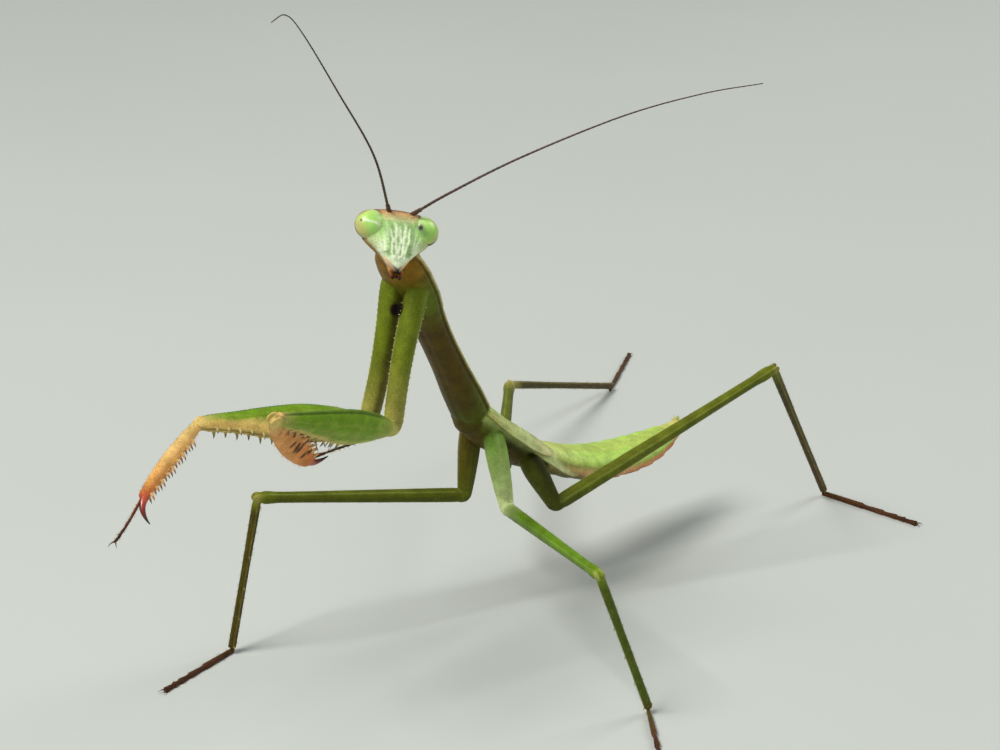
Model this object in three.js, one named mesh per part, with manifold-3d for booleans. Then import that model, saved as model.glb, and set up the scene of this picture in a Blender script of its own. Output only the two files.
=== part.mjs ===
// A praying mantis nymph (Tenodera), life size, standing with its front end raised and its
// head turned to its left. Millimetres, +Z up, the animal faces -Y and its left side is +X.
// Every body part is one closed solid. Neighbours are cut to each other with a thin seam.

import * as THREE from 'three';
import { mergeVertices } from 'three/addons/utils/BufferGeometryUtils.js';
import Module from 'manifold-3d';

const wasm = await Module();
wasm.setup();

// ---------------------------------------------------------------- driving dimensions
const SEAM = 0.03;                    // gap between neighbouring solids
const MID_THORAX_HEIGHT = 17.1;       // height of the joint behind the long prothorax
const ANKLE_HEIGHT = 0.55;            // height of the lower end of each walking tibia
const FEELER_THICKNESS = 0.5;
const WING_PAD_THICKNESS = 0.54;

const LENGTHS = {
  prothorax: 18.0,
  thorax: 9.0,
  abdomen: 18.2,
  fore: { coxa: 9.5, femur: 12.6, tibia: 7.2, tarsus: 4.6 },
  mid: { coxa: 5.5, femur: 16.7, tibia: 12.3, tarsus: 7.2 },
  hind: { coxa: 4.3, femur: 20.2, tibia: 20.8, tarsus: 9.2 },
};

// Directions are [azimuth, elevation] in degrees. Azimuth 0 is straight ahead and 90 is
// out to the animal's left. A walking tibia has only an azimuth: it reaches the floor.
const POSE = {
  prothorax: [18, 55],
  thorax: [-4, 39],
  abdomenBase: [-4, 29],
  abdomenTip: [4, -10],
  head: { facing: [73, 32], roll: -17 },
  foreLeft: { coxa: [16, -64], bow: -0.35, femur: [10, 23], tibia: [-152, -46], tarsus: [-172, -6] },
  foreRight: { coxa: [1, -72], bow: 0.25, femur: [-12, 13], tibia: [19, -19], tarsus: [28, -17] },
  midLeft: { coxa: [92, -76], femur: [66.6, 8.7], tibia: 163, tarsus: 49 },
  midRight: { coxa: [-16, -84], femur: [-20, 11], tibia: -37, tarsus: 8 },
  hindLeft: { coxa: [134, -62], femur: [157.4, 24], tibia: -164, tarsus: 95 },
  hindRight: { coxa: [-124, -60], femur: [-138, -1.5], tibia: -165, tarsus: -150 },
};

// Where the head and the legs sit on the body: ahead of a joint, out to the side, and up.
const SEATS = {
  head: { forward: 2.75, left: 0.25, up: 0.8 },
  fore: { forward: -2.0, out: 1.0, up: -0.7 },
  mid: { forward: -2.2, out: 1.3, up: -1.05 },
  hind: { forward: -6.6, out: 1.4, up: -1.05 },
};

const COLOURS = {
  leaf: 0x8fae4a,
  olive: 0x66702c,
  brown: 0x8a6a2c,
  orange: 0xd08a45,
  face: 0xb8d8a8,
  eye: 0x8fd05a,
  dark: 0x2c2018,
  claw: 0x5a1810,
};

// ---------------------------------------------------------------- vectors and frames
function vec(x, y, z) {
  return new THREE.Vector3(x, y, z);
}

function direction([azimuth, elevation]) {
  const az = THREE.MathUtils.degToRad(azimuth);
  const el = THREE.MathUtils.degToRad(elevation);
  return vec(Math.sin(az) * Math.cos(el), -Math.cos(az) * Math.cos(el), Math.sin(el));
}

function along(point, unit, distance) {
  return point.clone().addScaledVector(unit, distance);
}

// The body's left-hand and upward directions about an axis that points forwards.
function bodyFrame(axis) {
  const left = vec(0, 0, 1).cross(axis).normalize();
  const up = axis.clone().cross(left).normalize();
  return { axis: axis.clone(), left, up };
}

// ---------------------------------------------------------------- solids
function solidFrom(geometry) {
  const bare = geometry.index ? geometry.clone() : mergeVertices(geometry);
  bare.deleteAttribute('normal');
  bare.deleteAttribute('uv');
  const merged = mergeVertices(bare, 1e-5);
  const mesh = new wasm.Mesh({
    numProp: 3,
    vertProperties: new Float32Array(merged.attributes.position.array),
    triVerts: new Uint32Array(merged.index.array),
  });
  return new wasm.Manifold(mesh);
}

function geometryFrom(solid) {
  const mesh = solid.getMesh();
  const geometry = new THREE.BufferGeometry();
  geometry.setAttribute('position', new THREE.BufferAttribute(mesh.vertProperties, 3));
  geometry.setIndex(new THREE.BufferAttribute(mesh.triVerts, 1));
  geometry.computeVertexNormals();
  return geometry;
}

// One ring of a loft: half widths to each side, above and below its centre.
function ringPoints(station, sides, grow) {
  const points = [];
  for (let i = 0; i < sides; i += 1) {
    const angle = ((i + 0.5) / sides) * 2 * Math.PI;
    const across = Math.cos(angle) * (station.side + grow);
    const reach = Math.sin(angle) > 0 ? station.above : station.below;
    const height = Math.sin(angle) * (reach + grow);
    points.push(along(along(station.centre, station.left, across), station.up, height));
  }
  return points;
}

// Joins the rings of the stations into one closed solid with flat ends.
function loft(plainStations, sides, grow = 0) {
  const stations = plainStations.map((station) => ({ ...station }));
  const head = stations[0];
  const tail = stations[stations.length - 1];
  const span = tail.centre.clone().sub(head.centre);
  const sense = Math.sign(span.dot(head.axis));
  head.centre = along(head.centre, head.axis, -grow * sense);
  tail.centre = along(tail.centre, tail.axis, grow * sense);
  const rings = stations.map((station) => ringPoints(station, sides, grow));
  const positions = [];
  for (const point of [...rings.flat(), head.centre, tail.centre]) {
    positions.push(point.x, point.y, point.z);
  }
  const firstIndex = rings.length * sides;
  const lastIndex = firstIndex + 1;
  const faces = [];
  for (let ring = 0; ring + 1 < rings.length; ring += 1) {
    for (let i = 0; i < sides; i += 1) {
      const a = ring * sides + i;
      const b = ring * sides + ((i + 1) % sides);
      faces.push(a, b, b + sides, a, b + sides, a + sides);
    }
  }
  const lastRing = (rings.length - 1) * sides;
  for (let i = 0; i < sides; i += 1) {
    const next = (i + 1) % sides;
    faces.push(firstIndex, next, i);
    faces.push(lastIndex, lastRing + i, lastRing + next);
  }
  const geometry = new THREE.BufferGeometry();
  geometry.setAttribute('position', new THREE.Float32BufferAttribute(positions, 3));
  geometry.setIndex(faces);
  const solid = solidFrom(geometry);
  return solid.volume() > 0 ? solid : solidFrom(flipped(geometry));
}

function flipped(geometry) {
  const copy = geometry.clone();
  const index = Array.from(copy.index.array);
  for (let i = 0; i < index.length; i += 3) {
    [index[i + 1], index[i + 2]] = [index[i + 2], index[i + 1]];
  }
  copy.setIndex(index);
  return copy;
}

// Stations along a limb from start to end. Each row of the profile is
// [part of the length, half width, dorsal half, ventral half], and bow bends the limb.
function limbStations(start, end, dorsal, profile, bow = 0) {
  const axis = end.clone().sub(start).normalize();
  const left = dorsal.clone().cross(axis).normalize();
  const up = axis.clone().cross(left).normalize();
  return profile.map(([part, side, above, below]) => {
    const centre = start.clone().lerp(end, part);
    centre.addScaledVector(up, bow * 4 * part * (1 - part));
    return { centre, axis, left, up, side, above, below };
  });
}

function cone(base, tip, radius) {
  const axis = tip.clone().sub(base);
  const geometry = new THREE.ConeGeometry(radius, axis.length(), 4);
  const turn = new THREE.Quaternion().setFromUnitVectors(vec(0, 1, 0), axis.clone().normalize());
  geometry.applyQuaternion(turn);
  const middle = base.clone().lerp(tip, 0.5);
  geometry.translate(middle.x, middle.y, middle.z);
  return solidFrom(geometry);
}

function ellipsoid(centre, radii, turn, grow) {
  const geometry = new THREE.SphereGeometry(1, 18, 11);
  geometry.scale(radii.x + grow, radii.y + grow, radii.z + grow);
  geometry.applyMatrix4(turn);
  geometry.translate(centre.x, centre.y, centre.z);
  return solidFrom(geometry);
}

// ---------------------------------------------------------------- the parts in order
// Each part keeps a maker that can grow it a little, so that its neighbours clear it.
const parts = new Map();

// A tip that a cut leaves loose is dropped.
function part(name, colour, make, cutBy = []) {
  let solid = make(0);
  for (const neighbour of cutBy) {
    solid = solid.subtract(parts.get(neighbour).make(SEAM));
  }
  const pieces = solid.decompose();
  pieces.sort((a, b) => b.volume() - a.volume());
  parts.set(name, { colour, make, solid: pieces[0] });
}

// ---------------------------------------------------------------- body axis
const midJoint = vec(0, 0, MID_THORAX_HEIGHT);
const proFrame = bodyFrame(direction(POSE.prothorax));
const thoraxFrame = bodyFrame(direction(POSE.thorax));
const neckPoint = along(midJoint, proFrame.axis, LENGTHS.prothorax);
const thoraxEnd = along(midJoint, thoraxFrame.axis, -LENGTHS.thorax);

function inFrame(origin, frame, forward, left, up) {
  return along(along(along(origin, frame.axis, forward), frame.left, left), frame.up, up);
}

function axisStations(origin, frame, rows) {
  return rows.map(([forward, side, above, below]) => ({
    centre: along(origin, frame.axis, forward),
    axis: frame.axis.clone(),
    left: frame.left,
    up: frame.up,
    side,
    above,
    below,
  }));
}

// ---------------------------------------------------------------- head
const headAxis = direction(POSE.head.facing);
const headLevel = bodyFrame(headAxis);
const headRoll = THREE.MathUtils.degToRad(POSE.head.roll);
const headLeft = headLevel.left.clone().applyAxisAngle(headAxis, headRoll);
const headUp = headLevel.up.clone().applyAxisAngle(headAxis, headRoll);
const headCentre = inFrame(neckPoint, proFrame, SEATS.head.forward, SEATS.head.left, SEATS.head.up);

function headPoint(left, forward, up) {
  return headCentre.clone().addScaledVector(headLeft, left)
    .addScaledVector(headAxis, forward).addScaledVector(headUp, up);
}

// Rows from the crown to the labrum: [height, half width, reach forwards, reach back].
const HEAD_ROWS = [
  [1.22, 0.75, 0.30, 0.50],
  [1.08, 1.45, 0.70, 0.90],
  [0.70, 1.85, 0.98, 1.18],
  [0.10, 1.90, 1.05, 1.18],
  [-0.55, 1.84, 1.03, 1.05],
  [-1.20, 1.58, 0.96, 0.85],
  [-1.95, 1.08, 0.82, 0.66],
  [-2.55, 0.62, 0.66, 0.46],
  [-2.95, 0.25, 0.48, 0.20],
];

function headSolid(grow) {
  const stations = HEAD_ROWS.map(([height, side, forward, back]) => ({
    centre: headPoint(0, 0, height),
    axis: headUp.clone().negate(),
    left: headLeft,
    up: headAxis,
    side,
    above: forward,
    below: back,
  }));
  return loft(stations, 18, grow);
}

const EYE = { out: 1.92, forward: 0.1, up: -0.02, radii: vec(0.9, 1.15, 1.15), tilt: 38 };

function eyeSolid(side) {
  const tilt = THREE.MathUtils.degToRad(-EYE.tilt) * side;
  const long = headUp.clone().applyAxisAngle(headAxis, tilt);
  const wide = headLeft.clone().applyAxisAngle(headAxis, tilt);
  const turn = new THREE.Matrix4().makeBasis(wide, headAxis, long);
  if (turn.determinant() < 0) {
    turn.makeBasis(wide.clone().negate(), headAxis, long);
  }
  const centre = headPoint(EYE.out * side, EYE.forward, EYE.up);
  return (grow) => ellipsoid(centre, EYE.radii, turn, grow);
}

part('eye_l', COLOURS.eye, eyeSolid(1));
part('eye_r', COLOURS.eye, eyeSolid(-1));
part('head', COLOURS.face, headSolid, ['eye_l', 'eye_r']);

function mouthSolid(grow) {
  const rows = [
    [0, 0.78, 0.55, 0.40],
    [0.35, 0.74, 0.62, 0.42],
    [0.75, 0.60, 0.50, 0.36],
    [1.15, 0.36, 0.30, 0.22],
    [1.35, 0.14, 0.14, 0.10],
  ];
  const top = headPoint(0, 0.02, -1.85);
  const tip = headPoint(0, 0.20, -3.2);
  const length = top.distanceTo(tip);
  const profile = rows.map(([height, side, above, below]) => [height / length, side, above, below]);
  return loft(limbStations(top, tip, headAxis, profile), 12, grow);
}
part('mouthparts', COLOURS.brown, mouthSolid, ['head']);

// ---------------------------------------------------------------- feelers
// Each feeler is a smooth curve through hand-set points in the head's own directions,
// [left, forward, up], and it is made in two lengths.
const FEELERS = {
  l: [[0.8, 0.75, 0.85], [2.5, 3.3, 2.0], [6.0, 6.9, 3.9], [11.1, 11.3, 5.8], [15.4, 14.1, 6.8], [19.0, 15.6, 7.3]],
  r: [[-0.8, 0.75, 0.85], [-3.8, 5.7, 2.9], [-8.3, 11.4, 4.5], [-12.2, 16.1, 5.9], [-13.8, 17.7, 6.2],
    [-14.8, 18.2, 5.4]],
};
const FEELER_STEPS = 14;

function feelerSolid(points, from, to) {
  const curve = new THREE.CatmullRomCurve3(points.map((row) => headPoint(row[0], row[1], row[2])));
  return (grow) => {
    const stations = [];
    for (let i = 0; i <= FEELER_STEPS; i += 1) {
      const t = THREE.MathUtils.lerp(from, to, i / FEELER_STEPS);
      const axis = curve.getTangentAt(t);
      const left = headAxis.clone().cross(axis).normalize();
      const up = axis.clone().cross(left).normalize();
      const half = FEELER_THICKNESS / 2;
      stations.push({ centre: curve.getPointAt(t), axis, left, up, side: half, above: half, below: half });
    }
    return loft(stations, 6, grow);
  };
}

for (const side of ['l', 'r']) {
  part(`antenna_${side}_base`, COLOURS.dark, feelerSolid(FEELERS[side], 0, 0.497), ['head']);
  part(`antenna_${side}_tip`, COLOURS.dark, feelerSolid(FEELERS[side], 0.5, 1));
}

// ---------------------------------------------------------------- neck and prothorax
// Rows along the prothorax: [distance ahead of the mid joint, half width, above, below].
const PROTHORAX_ROWS = [
  [-0.3, 1.15, 0.85, 1.15],
  [0.8, 1.52, 0.95, 1.45],
  [2.6, 1.52, 0.92, 1.45],
  [6.0, 1.34, 0.85, 1.22],
  [10.0, 1.26, 0.82, 1.10],
  [12.4, 1.36, 0.86, 1.05],
  [13.9, 1.74, 0.94, 1.02],
  [15.2, 1.94, 1.02, 1.05],
  [17.0, 1.90, 1.06, 1.05],
  [18.4, 1.74, 1.02, 1.00],
  [19.1, 1.48, 0.88, 0.85],
];

function prothoraxSolid(grow) {
  return loft(axisStations(midJoint, proFrame, PROTHORAX_ROWS), 14, grow);
}
part('prothorax', COLOURS.olive, prothoraxSolid);

function neckSolid(grow) {
  const start = along(neckPoint, proFrame.axis, -0.5);
  const end = headPoint(0, -0.75, -0.35);
  const profile = [[0, 1.40, 0.80, 0.80], [0.3, 1.56, 0.95, 0.98], [0.6, 1.42, 0.94, 0.95], [1, 1.1, 0.8, 0.8]];
  return loft(limbStations(start, end, proFrame.up, profile), 12, grow);
}
part('neck', COLOURS.brown, neckSolid, ['prothorax', 'head', 'mouthparts']);

// ---------------------------------------------------------------- thorax and wing pads
const MESO_ROWS = [
  [0.6, 1.15, 0.95, 1.20],
  [-0.6, 1.50, 1.10, 1.90],
  [-2.4, 1.70, 1.08, 2.10],
  [-4.27, 1.64, 1.00, 2.00],
];
const META_ROWS = [
  [-4.32, 1.64, 1.00, 2.00],
  [-6.2, 1.72, 0.98, 2.00],
  [-8.1, 1.58, 0.95, 1.60],
  [-8.95, 1.46, 0.90, 1.25],
];

part('mesothorax', COLOURS.leaf, (grow) => loft(axisStations(midJoint, thoraxFrame, MESO_ROWS), 12, grow),
  ['prothorax']);
part('metathorax', COLOURS.leaf, (grow) => loft(axisStations(midJoint, thoraxFrame, META_ROWS), 12, grow));

// ---------------------------------------------------------------- abdomen
// The abdomen bends evenly from its base direction to its tip direction.
const ABDOMEN_LENGTHS = 4;
const ABDOMEN_STEPS = 24;

function abdomenPath() {
  const rows = [];
  const point = thoraxEnd.clone();
  const step = LENGTHS.abdomen / ABDOMEN_STEPS;
  for (let i = 0; i <= ABDOMEN_STEPS; i += 1) {
    const t = i / ABDOMEN_STEPS;
    const azimuth = THREE.MathUtils.lerp(POSE.abdomenBase[0], POSE.abdomenTip[0], t);
    const elevation = THREE.MathUtils.lerp(POSE.abdomenBase[1], POSE.abdomenTip[1], t);
    const frame = bodyFrame(direction([azimuth, elevation]));
    rows.push({ t, centre: point.clone(), frame });
    point.addScaledVector(frame.axis, -step);
  }
  return rows;
}
const ABDOMEN_PATH = abdomenPath();

// Half width, height above and below the middle line at part t of the abdomen.
function abdomenSize(t) {
  const swell = Math.sin(Math.PI * Math.min(1, 0.16 + 0.76 * t));
  const taper = 1 - 0.72 * Math.pow(t, 5);
  return {
    side: (1.42 + 0.78 * swell) * taper,
    above: (0.86 + 0.12 * swell) * taper,
    below: (1.12 + 0.42 * swell) * taper,
  };
}

function abdomenSolid(index) {
  const perLength = ABDOMEN_STEPS / ABDOMEN_LENGTHS;
  return (grow) => {
    const stations = [];
    for (let i = index * perLength; i <= (index + 1) * perLength; i += 2) {
      const { t, centre, frame } = ABDOMEN_PATH[i];
      const shift = i === index * perLength ? -SEAM : 0;
      stations.push({
        centre: along(centre, frame.axis, shift),
        axis: frame.axis.clone().negate(),
        left: frame.left,
        up: frame.up,
        ...abdomenSize(t),
      });
    }
    return loft(stations, 12, grow);
  };
}

part('abdomen_1', COLOURS.leaf, abdomenSolid(0), ['metathorax']);
for (let i = 1; i < ABDOMEN_LENGTHS; i += 1) {
  part(`abdomen_${i + 1}`, COLOURS.leaf, abdomenSolid(i));
}

function cercusSolid(side) {
  const { centre, frame } = ABDOMEN_PATH[ABDOMEN_STEPS];
  const start = inFrame(centre, frame, 0.35, 0.28 * side, 0.05);
  const end = inFrame(centre, frame, -2.1, 0.95 * side, 0.35);
  const profile = [[0, 0.27, 0.27, 0.27], [0.6, 0.26, 0.26, 0.26], [1, 0.12, 0.12, 0.12]];
  return (grow) => loft(limbStations(start, end, frame.up, profile), 8, grow);
}
part('cercus_l', COLOURS.leaf, cercusSolid(1), ['abdomen_4']);
part('cercus_r', COLOURS.leaf, cercusSolid(-1), ['abdomen_4']);

// Wing pads are flat flaps that lie along the upper sides of the thorax.
const WING_PADS = {
  fore: { from: -0.5, to: -6.8, out: 1.42, width: 1.05, rise: 0.50 },
  hind: { from: -4.8, to: -11.4, out: 1.36, width: 1.15, rise: 0.20 },
};

function wingPadSolid(pad, side) {
  const start = inFrame(midJoint, thoraxFrame, pad.from, pad.out * side, pad.rise);
  const end = inFrame(midJoint, thoraxFrame, pad.to, (pad.out + 0.25) * side, pad.rise - 0.1);
  const slope = thoraxFrame.up.clone().addScaledVector(thoraxFrame.left, 1.3 * side).normalize();
  const half = WING_PAD_THICKNESS / 2;
  const profile = [
    [0, 0.35 * pad.width, half, half],
    [0.3, 0.85 * pad.width, half, half],
    [0.7, pad.width, half, half],
    [0.92, 0.7 * pad.width, half, half],
    [1, 0.3 * pad.width, half, half],
  ];
  return (grow) => loft(limbStations(start, end, slope, profile), 8, grow);
}

for (const [side, sign] of [['l', 1], ['r', -1]]) {
  part(`wing_pad_hind_${side}`, COLOURS.leaf, wingPadSolid(WING_PADS.hind, sign),
    ['mesothorax', 'metathorax', 'abdomen_1']);
  part(`wing_pad_fore_${side}`, COLOURS.leaf, wingPadSolid(WING_PADS.fore, sign),
    ['mesothorax', 'metathorax', 'prothorax', `wing_pad_hind_${side}`]);
}

// ---------------------------------------------------------------- legs
const FORE_SHAPE = {
  coxa: [[-0.08, 0.40, 0.40, 0.40], [-0.03, 0.72, 0.72, 0.72], [0.08, 0.86, 0.92, 0.92], [0.3, 0.72, 0.82, 0.82], [0.6, 0.62, 0.74, 0.74],
    [0.93, 0.60, 0.70, 0.70], [1, 0.48, 0.52, 0.52]],
  femur: [[0, 0.36, 0.42, 0.42], [0.07, 0.50, 0.66, 0.66], [0.2, 0.64, 1.02, 1.25], [0.38, 0.70, 1.20, 1.62],
    [0.58, 0.62, 1.02, 1.30], [0.8, 0.48, 0.70, 0.75], [0.95, 0.42, 0.52, 0.52], [1, 0.34, 0.36, 0.36]],
  tibia: [[0, 0.28, 0.38, 0.34], [0.12, 0.36, 0.50, 0.50], [0.5, 0.38, 0.58, 0.64], [0.85, 0.34, 0.48, 0.52],
    [1, 0.28, 0.36, 0.36]],
  tarsus: [[0, 0.25, 0.25, 0.25], [0.5, 0.25, 0.25, 0.25], [1, 0.16, 0.16, 0.16]],
};
const FORE_BOW = { femur: 0.1, tibia: 0.35, tarsus: -0.1 };
const WALKING_SHAPE = {
  mid: {
    coxa: [[-0.12, 0.42, 0.42, 0.42], [-0.03, 0.72, 0.76, 0.76], [0.2, 0.82, 0.86, 0.86], [0.7, 0.68, 0.70, 0.70],
      [1, 0.50, 0.52, 0.52]],
    femur: [[0, 0.42, 0.44, 0.44], [0.05, 0.50, 0.52, 0.52], [0.35, 0.45, 0.48, 0.48], [0.9, 0.36, 0.39, 0.39],
      [0.96, 0.42, 0.46, 0.46], [1, 0.32, 0.34, 0.34]],
    tibia: [[0, 0.26, 0.26, 0.26], [0.06, 0.31, 0.32, 0.32], [0.5, 0.28, 0.28, 0.28], [1, 0.29, 0.29, 0.29]],
  },
  hind: {
    coxa: [[-0.12, 0.42, 0.42, 0.42], [-0.03, 0.72, 0.76, 0.76], [0.2, 0.82, 0.86, 0.86], [0.7, 0.66, 0.68, 0.68],
      [1, 0.52, 0.54, 0.54]],
    femur: [[0, 0.45, 0.48, 0.48], [0.05, 0.55, 0.60, 0.60], [0.3, 0.52, 0.56, 0.56], [0.9, 0.38, 0.42, 0.42],
      [0.96, 0.44, 0.50, 0.50], [1, 0.34, 0.36, 0.36]],
    tibia: [[0, 0.27, 0.27, 0.27], [0.04, 0.33, 0.34, 0.34], [0.5, 0.29, 0.29, 0.29], [1, 0.30, 0.30, 0.30]],
  },
};

// A walking foot lies along the floor, and the floor cuts it flat below.
const TARSUS = {
  overlap: 0.15,
  heelHeight: 0.3,
  tipHeight: 0.2,
  profile: [[0, 0.3, 0.42, 0.42], [0.12, 0.27, 0.3, 0.42], [0.8, 0.25, 0.26, 0.42], [1, 0.22, 0.22, 0.42]],
};

function segment(start, end, dorsal, shape, bow = 0, sides = 8) {
  return (grow) => loft(limbStations(start, end, dorsal, shape, bow), sides, grow);
}

// The dorsal side of a segment in a leg that bends from one segment to the next.
function outerSide(axis, nextAxis) {
  const away = nextAxis.clone().negate();
  return away.addScaledVector(axis, -away.dot(axis)).normalize();
}

// Root, bend and tip of the tibia's claw: [ahead of the tibia's end, towards the femur].
const CLAW_POINTS = [[-0.3, 0.1], [0.95, 0.12], [1.25, 1.4]];

// A row of spines below a segment, leaning towards its tip.
function spineRow(start, end, ventral, leaning, row) {
  const axis = end.clone().sub(start).normalize();
  const across = ventral.clone().cross(axis).normalize();
  const spines = [];
  for (let i = 0; i < row.count; i += 1) {
    const part = THREE.MathUtils.lerp(row.from, row.to, i / (row.count - 1));
    const depth = row.depth(part) * 0.75 - row.bow * 4 * part * (1 - part);
    const length = row.length * (i % 2 === 0 ? 1 : 0.7);
    const root = along(along(start.clone().lerp(end, part), ventral, depth), across, row.across);
    const tip = along(along(root, ventral, 0.25 * row.depth(part) + length), axis, leaning * length);
    spines.push(cone(root, tip, row.radius));
  }
  return spines;
}

function withSpines(make, spines) {
  return (grow) => spines.reduce((solid, spine) => solid.add(spine), make(grow));
}

function profileDepth(shape) {
  return (part) => {
    const next = shape.findIndex((row) => row[0] >= part);
    const [before, after] = [shape[Math.max(0, next - 1)], shape[next]];
    const t = (part - before[0]) / Math.max(1e-6, after[0] - before[0]);
    return THREE.MathUtils.lerp(before[3], after[3], t);
  };
}

function foreLeg(side, sign, pose) {
  const base = inFrame(neckPoint, proFrame, SEATS.fore.forward, SEATS.fore.out * sign, SEATS.fore.up);
  const coxaAxis = direction(pose.coxa);
  const femurAxis = direction(pose.femur);
  const tibiaAxis = direction(pose.tibia);
  const coxaEnd = along(base, coxaAxis, LENGTHS.fore.coxa);
  const knee = along(coxaEnd, femurAxis, LENGTHS.fore.femur);
  const ankle = along(knee, tibiaAxis, LENGTHS.fore.tibia);
  const femurDorsal = outerSide(femurAxis, tibiaAxis);
  const tibiaDorsal = outerSide(tibiaAxis, femurAxis.clone().negate());
  const coxaDorsal = outerSide(coxaAxis, femurAxis);

  part(`fore_coxa_${side}`, COLOURS.olive, segment(base, coxaEnd, coxaDorsal, FORE_SHAPE.coxa, pose.bow, 10),
    ['prothorax', 'neck', 'mouthparts']);

  const femurSpines = [1, -1].flatMap((face) => spineRow(coxaEnd, knee, femurDorsal.clone().negate(), 0.15, {
    from: 0.4, to: 0.92, count: 9, depth: profileDepth(FORE_SHAPE.femur), length: 0.42, across: 0.28 * face,
    radius: 0.12, bow: FORE_BOW.femur,
  }));
  const femurBody = segment(coxaEnd, knee, femurDorsal, FORE_SHAPE.femur, FORE_BOW.femur, 12);
  part(`fore_femur_${side}`, COLOURS.leaf, withSpines(femurBody, femurSpines), [`fore_coxa_${side}`]);

  const tibiaSpines = [1, -1].flatMap((face) => spineRow(knee, ankle, tibiaDorsal.clone().negate(), 0.45, {
    from: 0.22, to: 0.94, count: 9, depth: profileDepth(FORE_SHAPE.tibia), length: 0.5, across: 0.2 * face,
    radius: 0.11, bow: FORE_BOW.tibia,
  }));
  const tibiaBody = segment(knee, ankle, tibiaDorsal, FORE_SHAPE.tibia, FORE_BOW.tibia, 10);
  part(`fore_tibia_${side}`, COLOURS.orange, withSpines(tibiaBody, tibiaSpines), [`fore_femur_${side}`]);

  const ventral = tibiaDorsal.clone().negate();
  const [clawRoot, clawBend, clawTip] = CLAW_POINTS.map(
    ([forward, down]) => along(along(ankle, tibiaAxis, forward), ventral, down),
  );
  part(`fore_claw_${side}`, COLOURS.claw, clawSolid(clawRoot, clawBend, clawTip, tibiaDorsal),
    [`fore_tibia_${side}`, `fore_femur_${side}`]);

  const tarsusRoot = along(along(ankle, tibiaDorsal, 0.12), tibiaAxis, -0.3);
  const tarsusEnd = along(tarsusRoot, direction(pose.tarsus), LENGTHS.fore.tarsus);
  part(`fore_tarsus_${side}`, COLOURS.olive,
    segment(tarsusRoot, tarsusEnd, tibiaDorsal, FORE_SHAPE.tarsus, FORE_BOW.tarsus, 6),
    [`fore_tibia_${side}`, `fore_claw_${side}`, `fore_femur_${side}`]);
}

function clawSolid(root, bend, tip, up) {
  const curve = new THREE.QuadraticBezierCurve3(root, bend, tip);
  return (grow) => {
    const stations = [];
    for (let i = 0; i <= 6; i += 1) {
      const t = i / 6;
      const axis = curve.getTangent(t);
      const left = up.clone().cross(axis).normalize();
      const above = axis.clone().cross(left).normalize();
      const half = THREE.MathUtils.lerp(0.3, 0.05, Math.pow(t, 1.3));
      stations.push({ centre: curve.getPoint(t), axis, left, up: above, side: half, above: half, below: half });
    }
    return loft(stations, 6, grow);
  };
}

function floorCut(solid) {
  const slab = new THREE.BoxGeometry(200, 200, 10);
  slab.translate(0, 0, -5);
  return solid.subtract(solidFrom(slab));
}

function walkingLeg(pair, side, sign, pose) {
  const lengths = LENGTHS[pair];
  const shape = WALKING_SHAPE[pair];
  const seat = SEATS[pair];
  const base = inFrame(midJoint, thoraxFrame, seat.forward, seat.out * sign, seat.up);
  const coxaAxis = direction(pose.coxa);
  const femurAxis = direction(pose.femur);
  const coxaEnd = along(base, coxaAxis, lengths.coxa);
  const knee = along(coxaEnd, femurAxis, lengths.femur);
  const drop = THREE.MathUtils.radToDeg(Math.asin((ANKLE_HEIGHT - knee.z) / lengths.tibia));
  const tibiaAxis = direction([pose.tibia, drop]);
  const ankle = along(knee, tibiaAxis, lengths.tibia);
  const femurDorsal = outerSide(femurAxis, tibiaAxis);

  const thorax = pair === 'mid' ? ['mesothorax', 'prothorax', 'metathorax', `wing_pad_fore_${side}`]
    : ['metathorax', 'abdomen_1', `wing_pad_hind_${side}`];
  part(`${pair}_coxa_${side}`, COLOURS.leaf, segment(base, coxaEnd, femurAxis, shape.coxa, 0, 10), thorax);
  part(`${pair}_femur_${side}`, COLOURS.olive, segment(coxaEnd, knee, femurDorsal, shape.femur, 0, 10),
    [`${pair}_coxa_${side}`]);
  part(`${pair}_tibia_${side}`, COLOURS.olive, segment(knee, ankle, femurAxis, shape.tibia, 0, 8),
    [`${pair}_femur_${side}`]);

  const toe = direction([pose.tarsus, 0]);
  const heel = along(ankle, toe, -TARSUS.overlap).setZ(TARSUS.heelHeight);
  const tip = along(heel, toe, lengths.tarsus).setZ(TARSUS.tipHeight);
  const tarsus = segment(heel, tip, vec(0, 0, 1), TARSUS.profile, 0, 8);
  part(`${pair}_tarsus_${side}`, COLOURS.olive, (grow) => floorCut(tarsus(grow)), [`${pair}_tibia_${side}`]);
}

foreLeg('l', 1, POSE.foreLeft);
foreLeg('r', -1, POSE.foreRight);
walkingLeg('mid', 'l', 1, POSE.midLeft);
walkingLeg('mid', 'r', -1, POSE.midRight);
walkingLeg('hind', 'l', 1, POSE.hindLeft);
walkingLeg('hind', 'r', -1, POSE.hindRight);

// ---------------------------------------------------------------- the whole animal
const mantis = new THREE.Group();
for (const [name, { colour, solid }] of parts) {
  const material = new THREE.MeshStandardMaterial({ color: colour, roughness: 0.5, metalness: 0 });
  const mesh = new THREE.Mesh(geometryFrom(solid), material);
  mesh.name = name;
  mantis.add(mesh);
}

// The origin is the middle of the animal's bounding box, on the floor.
const bounds = new THREE.Box3().setFromObject(mantis);
const middle = bounds.getCenter(vec(0, 0, 0));
mantis.position.set(-middle.x, -middle.y, -bounds.min.z);
mantis.updateMatrixWorld(true);

export default mantis;
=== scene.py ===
"""Looks of a praying mantis nymph: one finely divided skin, glossy eyes, thin feelers, spines and hairs.

Lengths are millimetres in the animal's own space, where the joint behind the prothorax is at
x = y = 0. They become metres in the frame as each piece is made. The animal faces -Y, its left is +X.
"""

import math

import bpy
import numpy as np
from mathutils import Matrix, Vector


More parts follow.
